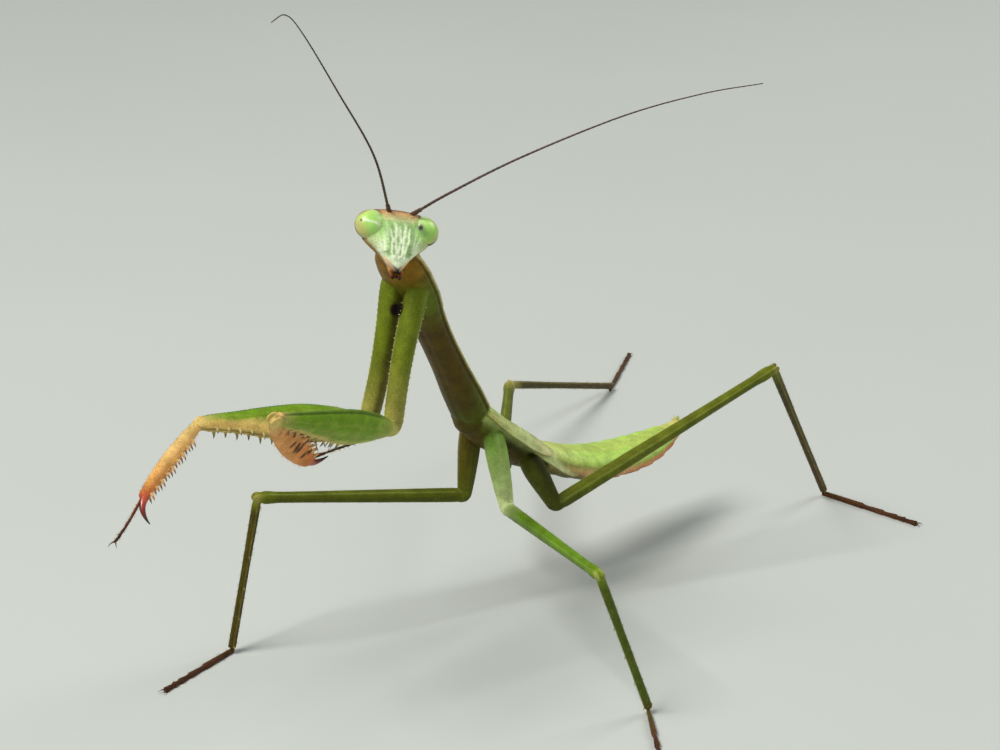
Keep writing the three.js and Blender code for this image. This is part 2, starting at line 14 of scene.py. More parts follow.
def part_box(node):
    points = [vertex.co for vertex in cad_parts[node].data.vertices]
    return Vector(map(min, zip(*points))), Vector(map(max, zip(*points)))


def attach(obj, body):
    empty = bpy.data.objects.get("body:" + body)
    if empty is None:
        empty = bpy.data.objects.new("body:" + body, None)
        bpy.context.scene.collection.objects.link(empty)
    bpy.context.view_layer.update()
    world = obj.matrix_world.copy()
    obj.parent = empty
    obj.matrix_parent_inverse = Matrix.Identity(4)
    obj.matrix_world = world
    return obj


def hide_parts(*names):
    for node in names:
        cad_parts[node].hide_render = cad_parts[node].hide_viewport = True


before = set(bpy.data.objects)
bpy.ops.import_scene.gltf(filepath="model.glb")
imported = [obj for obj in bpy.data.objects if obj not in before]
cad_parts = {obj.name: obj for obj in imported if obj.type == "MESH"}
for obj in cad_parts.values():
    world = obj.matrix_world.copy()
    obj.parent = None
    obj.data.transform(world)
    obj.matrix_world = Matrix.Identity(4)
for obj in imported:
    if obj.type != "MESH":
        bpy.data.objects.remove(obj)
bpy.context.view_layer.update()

MM = 0.001
RANDOM = np.random.default_rng(7)

# ---------------------------------------------------------------- sizes and pose
MID_THORAX_HEIGHT = 17.1
ANKLE_HEIGHT = 0.55
PROTHORAX_LENGTH = 18.0
THORAX_LENGTH = 9.0
ABDOMEN_LENGTH = 16.8
FORE_LENGTHS = {"coxa": 9.5, "femur": 12.6, "tibia": 7.2, "tarsus": 4.6}
WALKING_LENGTHS = {
    "mid": {"coxa": 5.5, "femur": 16.7, "tibia": 12.3, "tarsus": 7.2},
    "hind": {"coxa": 4.3, "femur": 20.2, "tibia": 20.8, "tarsus": 9.2},
}

# Directions are (azimuth, elevation) in degrees: azimuth 0 is straight ahead, 90 is to its left.
PROTHORAX_WAY = (18, 55)
THORAX_WAY = (-4, 39)
ABDOMEN_BASE_WAY = (-4, 29)
ABDOMEN_TIP_WAY = (4, -10)
HEAD_WAY = (73, 32)
HEAD_ROLL = -17
FORE_POSES = {
    "l": {"coxa": (16, -64), "bow": -0.35, "femur": (10, 23), "tibia": (-152, -46), "tarsus": (-172, -6)},
    "r": {"coxa": (1, -72), "bow": 0.25, "femur": (-12, 13), "tibia": (19, -19), "tarsus": (28, -17)},
}
WALKING_POSES = {
    ("mid", "l"): {"coxa": (92, -76), "femur": (66.6, 8.7), "tibia": 163, "tarsus": 49},
    ("mid", "r"): {"coxa": (-16, -84), "femur": (-20, 11), "tibia": -37, "tarsus": 8},
    ("hind", "l"): {"coxa": (134, -62), "femur": (157.4, 24), "tibia": -164, "tarsus": 95},
    ("hind", "r"): {"coxa": (-124, -60), "femur": (-138, -1.5), "tibia": -165, "tarsus": -150},
}
# Where the head and the legs start, in mm forward, out and up from the joint each one belongs to.
SEATS = {"head": (2.75, 0.25, 0.8), "fore": (-2.0, 1.0, -0.7), "mid": (-2.2, 1.3, -1.05),
         "hind": (-6.6, 1.4, -1.05)}
SIDES = {"l": 1, "r": -1}


# ---------------------------------------------------------------- vectors and curves
def unit(vector):
    return vector / np.linalg.norm(vector)


def direction(way):
    azimuth, elevation = (math.radians(angle) for angle in way)
    flat = math.cos(elevation)
    return np.array([math.sin(azimuth) * flat, -math.cos(azimuth) * flat, math.sin(elevation)])


def body_frame(axis):
    """The axis with the body's left and up directions about it."""
    left = unit(np.cross((0, 0, 1), axis))
    return axis, left, np.cross(axis, left)


def in_frame(origin, axes, forward, left, up):
    return origin + axes[0] * forward + axes[1] * left + axes[2] * up


def smooth_rows(rows, t):
    """Values between the rows of a profile, on a curve that doesn't overshoot them."""
    table = np.array(rows, float)
    x, y = table[:, 0], table[:, 1:]
    h = np.diff(x)[:, None]
    slope = np.diff(y, axis=0) / h
    tangent = np.zeros_like(y)
    tangent[0], tangent[-1] = slope[0], slope[-1]
    same_way = slope[:-1] * slope[1:] > 0
    pair_sum = np.where(same_way, slope[:-1] + slope[1:], 1.0)
    tangent[1:-1] = np.where(same_way, 2 * slope[:-1] * slope[1:] / pair_sum, 0.0)
    t = np.clip(t, x[0], x[-1])
    i = np.clip(np.searchsorted(x, t, side="right") - 1, 0, len(x) - 2)
    w = ((t - x[i]) / h[i, 0])[:, None]
    start = (2 * w**3 - 3 * w**2 + 1) * y[i] + (w**3 - 2 * w**2 + w) * h[i] * tangent[i]
    return start + (3 * w**2 - 2 * w**3) * y[i + 1] + (w**3 - w**2) * h[i] * tangent[i + 1]


CURVE_STEPS = 40


def catmull(points, count):
    """Evenly spaced points on a smooth curve through a few given ones."""
    points = np.array(points, float)
    ends = np.vstack([2 * points[0] - points[1], points, 2 * points[-1] - points[-2]])
    fine = []
    for i in range(len(points) - 1):
        a, b, c, d = ends[i : i + 4]
        for t in np.linspace(0, 1, CURVE_STEPS, endpoint=False):
            fine.append(0.5 * (2 * b + (c - a) * t + (2 * a - 5 * b + 4 * c - d) * t**2
                               + (3 * b - a - 3 * c + d) * t**3))
    fine.append(points[-1])
    fine = np.array(fine)
    reach = np.concatenate([[0], np.cumsum(np.linalg.norm(np.diff(fine, axis=0), axis=1))])
    even = np.linspace(0, reach[-1], count)
    return np.column_stack([np.interp(even, reach, fine[:, k]) for k in range(3)])


# ---------------------------------------------------------------- colours
def paint(red, green, blue):
    """An everyday screen colour as the linear one that materials use."""
    screen = np.array([red, green, blue]) / 255
    return np.where(screen < 0.04045, screen / 12.92, ((screen + 0.055) / 1.055) ** 2.4)


def smooth(x, low, high):
    """0 below low, 1 above high, and a soft step between."""
    w = np.clip((x - low) / (high - low), 0, 1)
    return w * w * (3 - 2 * w)


def fade(x, low, high):
    """1 below low, 0 above high, and a soft step between."""
    return 1 - smooth(x, low, high)


def bump(x, centre, width):
    """1 at the centre, falling off softly either side."""
    return np.exp(-(((x - centre) / width) ** 2))


def mix(first, second, weight):
    return first + (second - first) * np.asarray(weight)[..., None]


def overlay(skin, *layers):
    """A colour with (colour, weight) layers laid over it in turn."""
    for colour, weight in layers:
        skin = mix(skin, colour, weight)
    return skin


def ramp(x, *stops):
    """A colour that runs through (place, colour) stops."""
    places = [stop[0] for stop in stops]
    colours = np.array([stop[1] for stop in stops])
    return np.stack([np.interp(x, places, colours[:, k]) for k in range(3)], axis=-1)


LEAF = paint(104, 142, 28)
LEAF_DARK = paint(46, 70, 10)
LEAF_PALE = paint(172, 196, 110)
MINT = paint(118, 154, 58)
FEMUR_GREEN = paint(108, 144, 30)
ABDOMEN_GREEN = paint(168, 202, 92)
OLIVE = paint(100, 108, 20)
OLIVE_DARK = paint(56, 60, 6)
BARK = paint(88, 58, 4)
STRAW = paint(206, 188, 112)
CREAM = paint(226, 224, 180)
TAN = paint(212, 174, 108)
AMBER = paint(140, 100, 26)
ORANGE = paint(216, 156, 84)
DEEP_ORANGE = paint(206, 122, 60)
PEACH = paint(232, 178, 128)
RUST = paint(178, 82, 44)
ROSE = paint(214, 122, 92)
CRIMSON = paint(176, 52, 40)
BROWN = paint(80, 48, 28)
NIGHT = paint(30, 16, 10)
DARK_BROWN = mix(BROWN, NIGHT, 0.3)
FACE = paint(186, 218, 154)
FACE_WHITE = paint(230, 244, 206)
FACE_GREEN = paint(138, 178, 100)
SKIN_PINK = paint(190, 152, 104)
EYE_GREEN = paint(158, 214, 96)
EYE_YELLOW = paint(196, 218, 122)
EYE_DARK = paint(10, 60, 18)


# ---------------------------------------------------------------- parts of the skin
SKIN = []
FEWEST_RINGS, FEWEST_SIDES = 6, 12
CAP_RINGS = 6
CAP_TURN = 0.98
BLOB_CORE = 0.02


class Grid:
    """The places of a tube's points: t and mm along it, angle round it, mm to its left and up.

    The sine and cosine of the angle say how far the surface there faces up and left, and inward says
    how far it faces the inner direction given to tube, all from -1 to 1.
    """

    def __init__(self, t, along, angle, left, up, inward):
        self.t, self.along, self.angle, self.left, self.up, self.inward = t, along, angle, left, up, inward
        self.sine, self.cosine = np.sin(angle), np.cos(angle)

    def turn(self, degrees):
        """How far each point is from an angle round the tube, in radians, the short way round."""
        return np.abs((self.angle - math.radians(degrees) + math.pi) % (2 * math.pi) - math.pi)

    def lines(self, width, *angles):
        """Soft lines along the tube at some angles in degrees. Their width is in radians."""
        return sum(bump(self.turn(angle), 0, width) for angle in angles)


def to_frame(points):
    """Places in the animal's own millimetres as places in the frame, in metres."""
    return (np.asarray(points) + FRAME_SHIFT) * MM


def straight(start, end, dorsal, bow=0.0):
    """A limb's middle line, as t -> centres, left and up directions."""
    axis = unit(end - start)
    left = unit(np.cross(dorsal, axis))
    up = np.cross(axis, left)

    def at(t):
        centres = start + np.outer(t, end - start) + np.outer(bow * 4 * t * (1 - t), up)
        return centres, np.tile(left, (len(t), 1)), np.tile(up, (len(t), 1))

    at.length = float(np.linalg.norm(end - start))
    return at


def follow(points, up_hint):
    """A middle line along given points, with its up side kept near a hint."""
    tangents = np.gradient(points, axis=0)
    tangents /= np.linalg.norm(tangents, axis=1)[:, None]
    left = np.cross(up_hint, tangents)
    left /= np.linalg.norm(left, axis=1)[:, None]
    up = np.cross(tangents, left)
    own = np.linspace(0, 1, len(points))

    def at(t):
        inside = np.clip(t, 0, 1)
        centres, lefts, ups = (
            np.column_stack([np.interp(inside, own, values[:, k]) for k in range(3)])
            for values in (points, left, up)
        )
        overshoot = (t - inside)[:, None] * at.length
        return centres + overshoot * np.where(t[:, None] < 0, tangents[0], tangents[-1]), lefts, ups

    at.length = float(np.linalg.norm(np.diff(points, axis=0), axis=1).sum())
    return at


def rows_between(rows, first, last):
    """Rows that start with a place, with its share of the way from first to last in its stead."""
    return [((row[0] - first) / (last - first), *row[1:]) for row in rows]


def even(*rows):
    """Rows (t, half width, half height) of a section that is as high above as below."""
    return [(t, wide, high, high) for t, wide, high in rows]


def stations(line, rows, step, caps):
    """Where a tube's rings are along it, and how far its round ends shrink each."""
    turn = np.linspace(0, math.pi / 2, CAP_RINGS + 1)[1:] * CAP_TURN
    rings = max(FEWEST_RINGS, round(line.length / step))
    before = rows[0][0] - np.sin(turn[::-1]) * caps[0] / line.length
    after = rows[-1][0] + np.sin(turn) * caps[1] / line.length
    t = np.concatenate([before, np.linspace(rows[0][0], rows[-1][0], rings + 1), after])
    return t, np.concatenate([np.cos(turn[::-1]), np.ones(rings + 1), np.cos(turn)])


def squarer(values, flatness):
    """The sines or cosines of a circle, for a squarer section where flatness is above 2."""
    return np.sign(values) * np.abs(values) ** (2 / flatness)


def tube(name, line, rows, tint, caps, step=0.1, relief=None, flatness=2.0, floor=False,
         inner=(0.0, 0.0, 0.0)):
    """One closed body part round a middle line.

    rows are (t, half width, half height above, half height below). caps are how far its round ends
    bulge. relief(grid) raises the surface in mm, and tint(grid) colours it.
    """
    t, shrink = stations(line, rows, step, caps)
    half = smooth_rows(rows, t) * shrink[:, None]
    girth = math.pi * max(wide + (above + below) / 2 for _, wide, above, below in rows)
    sides = max(FEWEST_SIDES, round(girth / step / 2) * 2)
    angle = (np.arange(sides) + 0.5) / sides * 2 * math.pi
    cosine, sine = np.cos(angle), np.sin(angle)
    reach = np.where(sine > 0, half[:, 1:2], half[:, 2:3])
    across, high = half[:, 0:1] * squarer(cosine, flatness), reach * squarer(sine, flatness)
    centres, lefts, ups = line(t)
    inward = cosine * (lefts @ np.array(inner))[:, None] + sine * (ups @ np.array(inner))[:, None]
    full = np.zeros_like(across)
    grid = Grid(t[:, None] + full, t[:, None] * line.length + full, angle + full, across, high, inward)
    if relief is not None:
        raised = relief(grid) * shrink[:, None]
        out_left, out_up = cosine * reach, sine * half[:, 0:1]
        size = np.maximum(np.hypot(out_left, out_up), 1e-6)
        across, high = across + raised * out_left / size, high + raised * out_up / size
    points = centres[:, None] + lefts[:, None] * across[..., None] + ups[:, None] * high[..., None]
    if floor:
        points[..., 2] = np.maximum(points[..., 2], 0.0)
    SKIN.append({"name": name, "points": points, "tint": tint(grid), "length": line.length, "girth": girth})


def plain(colour):
    return lambda grid: np.broadcast_to(colour, grid.t.shape + (3,))


def blob(name, centre, axes, radii, colour, step):
    """A rounded lump, as at a joint. radii go with the three axes."""
    long, wide, high = radii
    core = axes[0] * long * BLOB_CORE
    line = straight(centre - core, centre + core, axes[2])
    tube(name, line, even((0, wide, high), (1, wide, high)), plain(colour), (long, long), step)


# ---------------------------------------------------------------- body axis
mid_joint = np.array([0, 0, MID_THORAX_HEIGHT])
pro = body_frame(direction(PROTHORAX_WAY))
thorax = body_frame(direction(THORAX_WAY))
neck_point = mid_joint + pro[0] * PROTHORAX_LENGTH
thorax_end = mid_joint - thorax[0] * THORAX_LENGTH

head_axis, level_left, level_up = body_frame(direction(HEAD_WAY))
roll = math.radians(HEAD_ROLL)
head_left = level_left * math.cos(roll) + level_up * math.sin(roll)
head_up = level_up * math.cos(roll) - level_left * math.sin(roll)
head_centre = in_frame(neck_point, pro, *SEATS["head"])


def head_point(left, forward, up):
    return head_centre + head_left * left + head_axis * forward + head_up * up


def head_line(start, end, side=1):
    """A straight middle line between two places in the head, given for its left side."""
    places = (head_point(left * side, forward, up) for left, forward, up in (start, end))
    return straight(*places, head_axis)


def body_line(axes, rows):
    """The middle line of a part of the body whose rows start with mm in front of the middle joint."""
    return straight(mid_joint + axes[0] * rows[0][0], mid_joint + axes[0] * rows[-1][0], axes[2])


# ---------------------------------------------------------------- head
# In the relief below, each feature is its height in mm times the places where it is.
EYE_OUT, EYE_FORWARD, EYE_UP, EYE_TILT = 1.92, 0.1, -0.02, 34
EYE_SET = (-0.02, 0.08, 0.1)
EYE_RADII = np.array([1.05, 0.88, 0.98])
CROWN, CHIN = 1.22, -2.76
HEAD_FLATNESS = 2.2
# Height in the head, half width, and how far its front and back are from its middle.
HEAD_ROWS = [
    (1.22, 1.20, 0.34, 0.60),
    (1.12, 1.78, 0.62, 0.88),
    (0.80, 2.12, 0.88, 1.14),
    (0.10, 2.26, 1.00, 1.18),
    (-0.45, 2.38, 1.00, 1.05),
    (-0.75, 2.36, 0.99, 1.00),
    (-1.00, 2.18, 0.97, 0.95),
    (-1.30, 1.84, 0.94, 0.86),
    (-1.62, 1.44, 0.89, 0.76),
    (-1.95, 1.10, 0.82, 0.64),
    (-2.25, 0.82, 0.75, 0.52),
    (-2.52, 0.52, 0.66, 0.40),
    (-2.72, 0.28, 0.54, 0.26),
]
# Each white ridge of the face: its place from side to side, and the height of its top.
FACE_RIDGES = ((-0.8, -0.1), (-0.42, 0.3), (-0.06, 0.05), (0.3, 0.35), (0.7, 0.0))
CLYPEUS_TOP, LABRUM_TOP = -1.98, -2.4
SOCKET_OUT, SOCKET_UP, SOCKET_RADIUS = 0.78, 0.95, 0.2


def eye_axes(side):
    tilt = math.radians(-EYE_TILT) * side
    long = head_up * math.cos(tilt) + np.cross(head_axis, head_up) * math.sin(tilt)
    wide = head_left * math.cos(tilt) + np.cross(head_axis, head_left) * math.sin(tilt)
    return wide, head_axis, long


def frame_shift():
    """How far the frame's space is from the animal's own, in mm, from where the CAD eye is."""
    low, high = (np.array(corner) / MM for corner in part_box("eye_l"))
    shift = (low + high) / 2 - head_point(EYE_OUT, EYE_FORWARD, EYE_UP)
    return np.array([shift[0], shift[1], 0.0])


FRAME_SHIFT = frame_shift()


def eye_centre(side):
    return head_point((EYE_OUT + EYE_SET[0]) * side, EYE_FORWARD + EYE_SET[1], EYE_UP + EYE_SET[2])


def outside_eye(points, side, swell):
    """How far points are outside one eye, as a share of its size. swell makes it larger, in mm."""
    away = points - eye_centre(side)
    local = np.stack([away @ axis for axis in eye_axes(side)], axis=-1)
    return np.linalg.norm(local / (EYE_RADII + swell), axis=-1) - 1


def face_height(grid):
    return CROWN - grid.along


def face_ridges(grid):
    """1 along the white ridges of the face, which draw together below."""
    high = face_height(grid)
    spread = 0.5 + 0.5 * np.clip((high + 2.2) / 2.4, 0, 1)
    wander = 0.035 * np.sin(high * 4.6) + 0.02 * np.sin(high * 11)
    lines = 0
    for i, (place, top) in enumerate(FACE_RIDGES):
        middle, width = place * spread + wander * (-1) ** i, 0.085 + 0.025 * (i % 2)
        lines = lines + bump(grid.left, middle, width) * fade(high, top - 0.5, top + 0.1)
    return lines * smooth(grid.sine, 0.25, 0.55) * smooth(high, -2.35, -2.1)


def head_relief(grid):
    high, across = face_height(grid), np.abs(grid.left)
    front = smooth(grid.sine, 0.1, 0.5)
    ridges = 0.055 * face_ridges(grid)
    shield_edge = np.maximum(across - (0.98 + 0.12 * high), np.abs(high + 0.45) - 0.85)
    shield = 0.05 * fade(shield_edge, -0.06, 0.06) * front
    sutures = -0.03 * front * (bump(high, CLYPEUS_TOP, 0.06) * (across < 0.7) + bump(high, LABRUM_TOP, 0.05))
    cheeks = -0.04 * front * bump(across, 1.15 + 0.3 * (high + 1.2), 0.07) * fade(high, -0.7, -0.3)
    from_sockets = (np.hypot(grid.left - SOCKET_OUT * side, high - SOCKET_UP) for side in (1, -1))
    sockets = sum(0.05 * bump(away, SOCKET_RADIUS, 0.06) for away in from_sockets) * front
    crown_lines = -0.03 * (high > 0.6) * (bump(across, 0.45, 0.05) + bump(across, 1.1, 0.06)) * (1 - front)
    return ridges + shield + sutures + cheeks + sockets + crown_lines


def eye_rim(grid):
    """1 on the narrow dark seam round each eye, fading out where the face meets its inner edge."""
    high = face_height(grid)
    points = head_point(grid.left[..., None], grid.up[..., None], high[..., None])
    rims = sum(bump(outside_eye(points, side, 0.02), 0.035, 0.05) for side in (1, -1))
    inner_edge = fade(np.abs(grid.left), 1.9, 2.4) * fade(high, 0.6, 0.9)
    return np.clip(rims, 0, 1) * (1 - 0.95 * inner_edge)


def face_tint(grid, front):
    """The front of the head, from the white of the lip up to the brown crown."""
    high, across = face_height(grid), np.abs(grid.left)
    face = ramp(high, (-2.9, FACE_WHITE), (-1.6, FACE_WHITE), (-1.1, mix(FACE, FACE_WHITE, 0.5)),
                (-0.5, FACE),
                (0.1, mix(FACE, EYE_GREEN, 0.35)), (0.4, mix(FACE, SKIN_PINK, 0.45)), (0.8, SKIN_PINK),
                (1.02, mix(SKIN_PINK, BROWN, 0.4)), (1.16, BROWN))
    between = 0.85 * smooth(high, -2.2, -1.8) * fade(high, -0.1, 0.35) * fade(across, 0.7, 1.05)
    beside_eyes = smooth(across, 0.95, 1.5) * smooth(high, -1.3, -0.4) * fade(high, 0.5, 0.9)
    cheeks = smooth(across, 1.2, 1.6) * fade(high, -0.9, -0.5) * smooth(high, -1.7, -1.4)
    seam = front * np.clip(bump(high, CLYPEUS_TOP, 0.05) * (across < 0.8) + bump(high, LABRUM_TOP, 0.05), 0,
                           1)
    corners = front * bump(high, -1.78, 0.07) * bump(across, 0.86, 0.16)
    flecks = np.sin(grid.left * 31 + 2 * np.sin(high * 9)) * np.sin(high * 27 + 3 * grid.left) - 0.35
    flecks = np.clip(flecks, 0, 1) * smooth(across, 0.7, 0.9) * fade(high, 0.2, 0.6)
    return overlay(face, (FACE_GREEN, between * front), (FACE_WHITE, np.clip(face_ridges(grid) * 1.2, 0, 1)),
                   (mix(EYE_GREEN, FACE, 0.25), 0.9 * beside_eyes * front),
                   (mix(FACE, SKIN_PINK, 0.4), 0.6 * cheeks), (FACE_GREEN, 0.2 * seam),
                   (mix(FACE_GREEN, BROWN, 0.4), 0.8 * corners), (FACE_GREEN, 0.25 * flecks))


def head_tint(grid):
    front = smooth(grid.sine, 0.05, 0.4)
    back = ramp(face_height(grid), (-2.9, AMBER), (-1.0, mix(SKIN_PINK, AMBER, 0.5)), (0.4, LEAF_PALE),
                (1.2, SKIN_PINK))
    edge = smooth(-grid.sine, 0.05, 0.35) * fade(-grid.sine, 0.6, 0.85)
    return overlay(back, (face_tint(grid, front), front), (DARK_BROWN, 0.85 * edge),
                   (mix(BROWN, NIGHT, 0.2), 0.75 * eye_rim(grid)))


tube("head", head_line((0, 0, CROWN), (0, 0, CHIN)), rows_between(HEAD_ROWS, CROWN, CHIN), head_tint,
     (0.08, 0.1),
     step=0.045, relief=head_relief, flatness=HEAD_FLATNESS)


JAW_ENDS = ((1.0, 0.12, -1.8), (0.08, 0.4, -3.04))
JAW_ROWS = [(0, 0.12, 0.32, 0.36), (0.45, 0.13, 0.26, 0.36), (0.85, 0.1, 0.18, 0.22), (1, 0.07, 0.1, 0.1)]
# The palps are the mouth's small feelers. For each pair: where it runs, its rings and how far its ends bulge.
PALPS = [
    ([(0.46, -0.15, -2.3), (0.42, 0.08, -2.8), (0.34, 0.2, -3.15), (0.24, 0.26, -3.42)], 40, 0.08),
    ([(0.16, -0.2, -2.6), (0.16, -0.05, -2.95), (0.09, 0.08, -3.3)], 30, 0.06),
]
PALP_ROWS = even((0, 0.11, 0.11), (0.3, 0.13, 0.13), (0.36, 0.09, 0.09), (0.62, 0.13, 0.13),
                 (0.68, 0.09, 0.09),
                 (0.9, 0.12, 0.12), (1, 0.08, 0.08))
# The gap behind the lip: a black piece that stands in for the shade inside it.
GAP_ENDS = ((0, 0.35, -2.5), (0, 0.4, -3.05))
GAP_ROWS = [(0, 0.5, 0.2, 0.3), (1, 0.26, 0.12, 0.2)]
CHIN_ENDS = ((0, -0.35, -1.5), (0, 0.1, -3.0))
CHIN_ROWS = [(0, 0.75, 0.4, 0.4), (0.6, 0.6, 0.35, 0.3), (1, 0.3, 0.22, 0.2)]


def jaw_tint(grid):
    pale = mix(CREAM, ROSE, 0.45)
    return ramp(grid.t, (0, mix(CREAM, FACE, 0.4)), (0.35, pale), (0.8, mix(pale, BROWN, 0.35)), (1, NIGHT))


def palp_tint(grid):
    return ramp(grid.t, (0, AMBER), (0.45, mix(AMBER, ORANGE, 0.4)), (0.7, mix(RUST, BROWN, 0.5)), (1, NIGHT))


def build_mouth():
    """The jaws and palps either side of the lip, the gap behind it and the chin."""
    for side in (1, -1):
        tube("jaw", head_line(*JAW_ENDS, side), JAW_ROWS, jaw_tint, (0.15, 0.05), step=0.06)
        for places, rings, cap in PALPS:
            points = catmull([head_point(left * side, forward, up) for left, forward, up in places], rings)
            tube("palp", follow(points, head_axis), PALP_ROWS, palp_tint, (cap, cap), step=0.05)
    tube("gap", head_line(*GAP_ENDS), GAP_ROWS, plain(NIGHT), (0.1, 0.06), step=0.07)
    tube("chin", head_line(*CHIN_ENDS), CHIN_ROWS, plain(mix(AMBER, BROWN, 0.3)), (0.1, 0.12), step=0.08)


build_mouth()


# ---------------------------------------------------------------- neck and prothorax
# Places are mm in front of the middle joint, and half sizes in mm.
PROTHORAX_ROWS = [
    (-0.3, 1.30, 0.85, 1.42),
    (0.8, 1.54, 0.93, 1.52),
    (2.6, 1.52, 0.92, 1.45),
    (6.0, 1.34, 0.85, 1.22),
    (9.0, 1.29, 0.82, 1.12),
    (11.0, 1.36, 0.84, 1.08),
    (12.6, 1.52, 0.88, 1.05),
    (13.9, 1.72, 0.94, 1.02),
    (15.2, 1.88, 1.00, 1.05),
    (17.0, 1.90, 1.06, 1.05),
    (18.4, 1.74, 1.02, 1.00),
    (19.1, 1.48, 0.88, 0.85),
]
MARGIN_ANGLES = (14, 166)
SUPRACOXAL_GROOVE = 13.6
JOINT_AHEAD, JOINT_UP = -0.25, -0.56
JOINT_RADII = (1.3, 1.36, 1.32)
NECK_ROWS = [(0, 1.40, 0.80, 0.80), (0.3, 1.56, 0.95, 0.98), (0.6, 1.42, 0.94, 0.95), (1, 1.1, 0.8, 0.8)]


def prothorax_relief(grid):
    keel = 0.09 * grid.lines(0.12, 90) * fade(grid.along, 12.6, 13.4)
    furrow = -0.07 * grid.lines(0.1, 90) * smooth(grid.along, 13.8, 14.6)
    groove_place = SUPRACOXAL_GROOVE - 0.5 * np.abs(grid.cosine)
    groove = -0.12 * bump(grid.along, groove_place, 0.22) * (grid.sine > 0.22)
    beads = 1 + 0.1 * np.cos(grid.along * 24) * smooth(grid.along, 10, 13)
    margin = 0.13 * grid.lines(0.1, *MARGIN_ANGLES) * beads
    under_edge = -0.09 * grid.lines(0.09, -4, 184)
    ventral_fold = -0.05 * grid.lines(0.16, -90)
    return keel + furrow + groove + margin + under_edge + ventral_fold


def prothorax_tint(grid):
    down = smooth(-grid.sine, -0.35, 0.0)
    above = ramp(grid.along, (0, LEAF_PALE), (2, LEAF), (8, mix(LEAF, OLIVE, 0.5)), (14, OLIVE), (18, STRAW))
    # The underside's olive-brown is partly its own colour and partly painted shade, which makes it darker
    # than the top.
    brown = mix(OLIVE_DARK, BARK, 0.55)
    below = ramp(grid.along, (0, mix(OLIVE_DARK, LEAF, 0.25)), (3, mix(OLIVE_DARK, BARK, 0.35)), (6, brown),
                 (11.5, brown), (13.3, mix(OLIVE, brown, 0.4)), (15, mix(OLIVE, LEAF, 0.5)),
                 (17, mix(OLIVE, AMBER, 0.4)), (18, AMBER))
    greener = np.interp(grid.along, (0, 3.5, 6.5, 11.5, 13.5, 17, 18.5),
                        (0.95, 0.7, 0.12, 0.1, 0.7, 0.75, 0.1))
    blotches = np.sin(grid.left * 3.4 + grid.along * 2.1) * np.sin(grid.along * 3.3 - grid.left * 1.7)
    blotches = np.clip(blotches, 0, 1) * down * smooth(grid.along, 15.0, 17.0)
    patches = np.sin(grid.along * 1.9 + 3 * grid.left) * np.sin(grid.along * 4.1 - 4 * grid.left)
    beside_margin = np.clip(grid.lines(0.055, 2, 178, 29, 151), 0, 1)
    margin = np.clip(grid.lines(0.075, *MARGIN_ANGLES), 0, 1)
    return overlay(above, (below, down), (mix(LEAF_DARK, OLIVE, 0.55), grid.lines(0.4, -8) * greener),
                   (mix(OLIVE, BARK, 0.5), 0.6 * blotches),
                   (mix(BARK, OLIVE_DARK, 0.4), 0.35 * (0.5 + 0.5 * patches) * down),
                   (mix(BARK, NIGHT, 0.45), 0.85 * beside_margin), (mix(STRAW, CREAM, 0.5), 0.95 * margin))


prothorax_line = body_line(pro, PROTHORAX_ROWS)
prothorax_rows = rows_between(PROTHORAX_ROWS, PROTHORAX_ROWS[0][0], PROTHORAX_ROWS[-1][0])
tube("prothorax", prothorax_line, prothorax_rows, prothorax_tint, (0.25, 0.3), step=0.085,
     relief=prothorax_relief)

# The soft skin under the joint between the shield and the thorax.
blob("joint", in_frame(mid_joint, thorax, JOINT_AHEAD, 0, JOINT_UP), thorax, JOINT_RADII,
     mix(OLIVE_DARK, BARK, 0.35), step=0.1)


def neck_rings(grid):
    return np.sin(grid.along * 7.5 + 1.3 * np.cos(2 * grid.angle))


def neck_relief(grid):
    return 0.05 * neck_rings(grid) - 0.06 * bump(grid.cosine, 0, 0.2)


def neck_tint(grid):
    patches = 0.5 + 0.5 * np.sin(grid.left * 5.3 + grid.along * 2) * np.sin(grid.along * 4.7 - 2 * grid.up)
    return overlay(AMBER, (mix(BROWN, AMBER, 0.4), 0.35 * (0.5 + 0.5 * neck_rings(grid))),
                   (mix(OLIVE, STRAW, 0.4), 0.55 * patches), (STRAW, 0.4 * smooth(grid.cosine, 0.7, 1)))


tube("neck", straight(neck_point - pro[0] * 0.5, head_point(0, -0.55, -0.3), pro[2]), NECK_ROWS, neck_tint,
     (0.2, 0.2), step=0.07, relief=neck_relief)


# ---------------------------------------------------------------- thorax and wing pads
THORAX_ROWS = [
    (0.9, 1.25, 0.85, 1.42),
    (-0.6, 1.50, 0.95, 1.86),
    (-2.4, 1.70, 0.80, 2.10),
    (-4.3, 1.64, 0.68, 2.00),
    (-6.2, 1.72, 0.66, 2.00),
    (-8.1, 1.58, 0.72, 1.60),
    (-9.3, 1.46, 0.80, 1.20),
]
PLATE_EDGES = (4.9, 9.4)
WING_PADS = {
    "fore": {"start": -0.3, "end": -7.9, "out": 1.55, "width": 0.62, "rise": 0.22},
    "hind": {"start": -4.8, "end": -11.8, "out": 1.45, "width": 0.72, "rise": 0.02},
}
# Each row of a pad: its place, and its half width and half thickness as shares of the pad's own.
PAD_OUTLINE = ((0, 0.35, 1), (0.3, 0.85, 1), (0.7, 1, 1), (0.92, 0.7, 1), (1, 0.3, 0.7))
PAD_HALF_THICKNESS = 0.17
PAD_SPREAD, PAD_DROP, PAD_SLOPE = 0.25, 0.1, 1.3
PAD_VEINS = 9.0


def thorax_relief(grid):
    steps = sum(-0.08 * bump(grid.along, edge, 0.12) for edge in PLATE_EDGES)
    side_folds = -0.07 * bump(grid.sine, -0.35, 0.12) * (0.6 + 0.4 * np.sin(grid.along * 2.2))
    slants = -0.05 * bump((grid.along + 1.6 * grid.sine) % 2.2, 1.1, 0.16) * (grid.sine < -0.1)
    keel = 0.06 * grid.lines(0.12, 90)
    return steps + side_folds + slants + keel


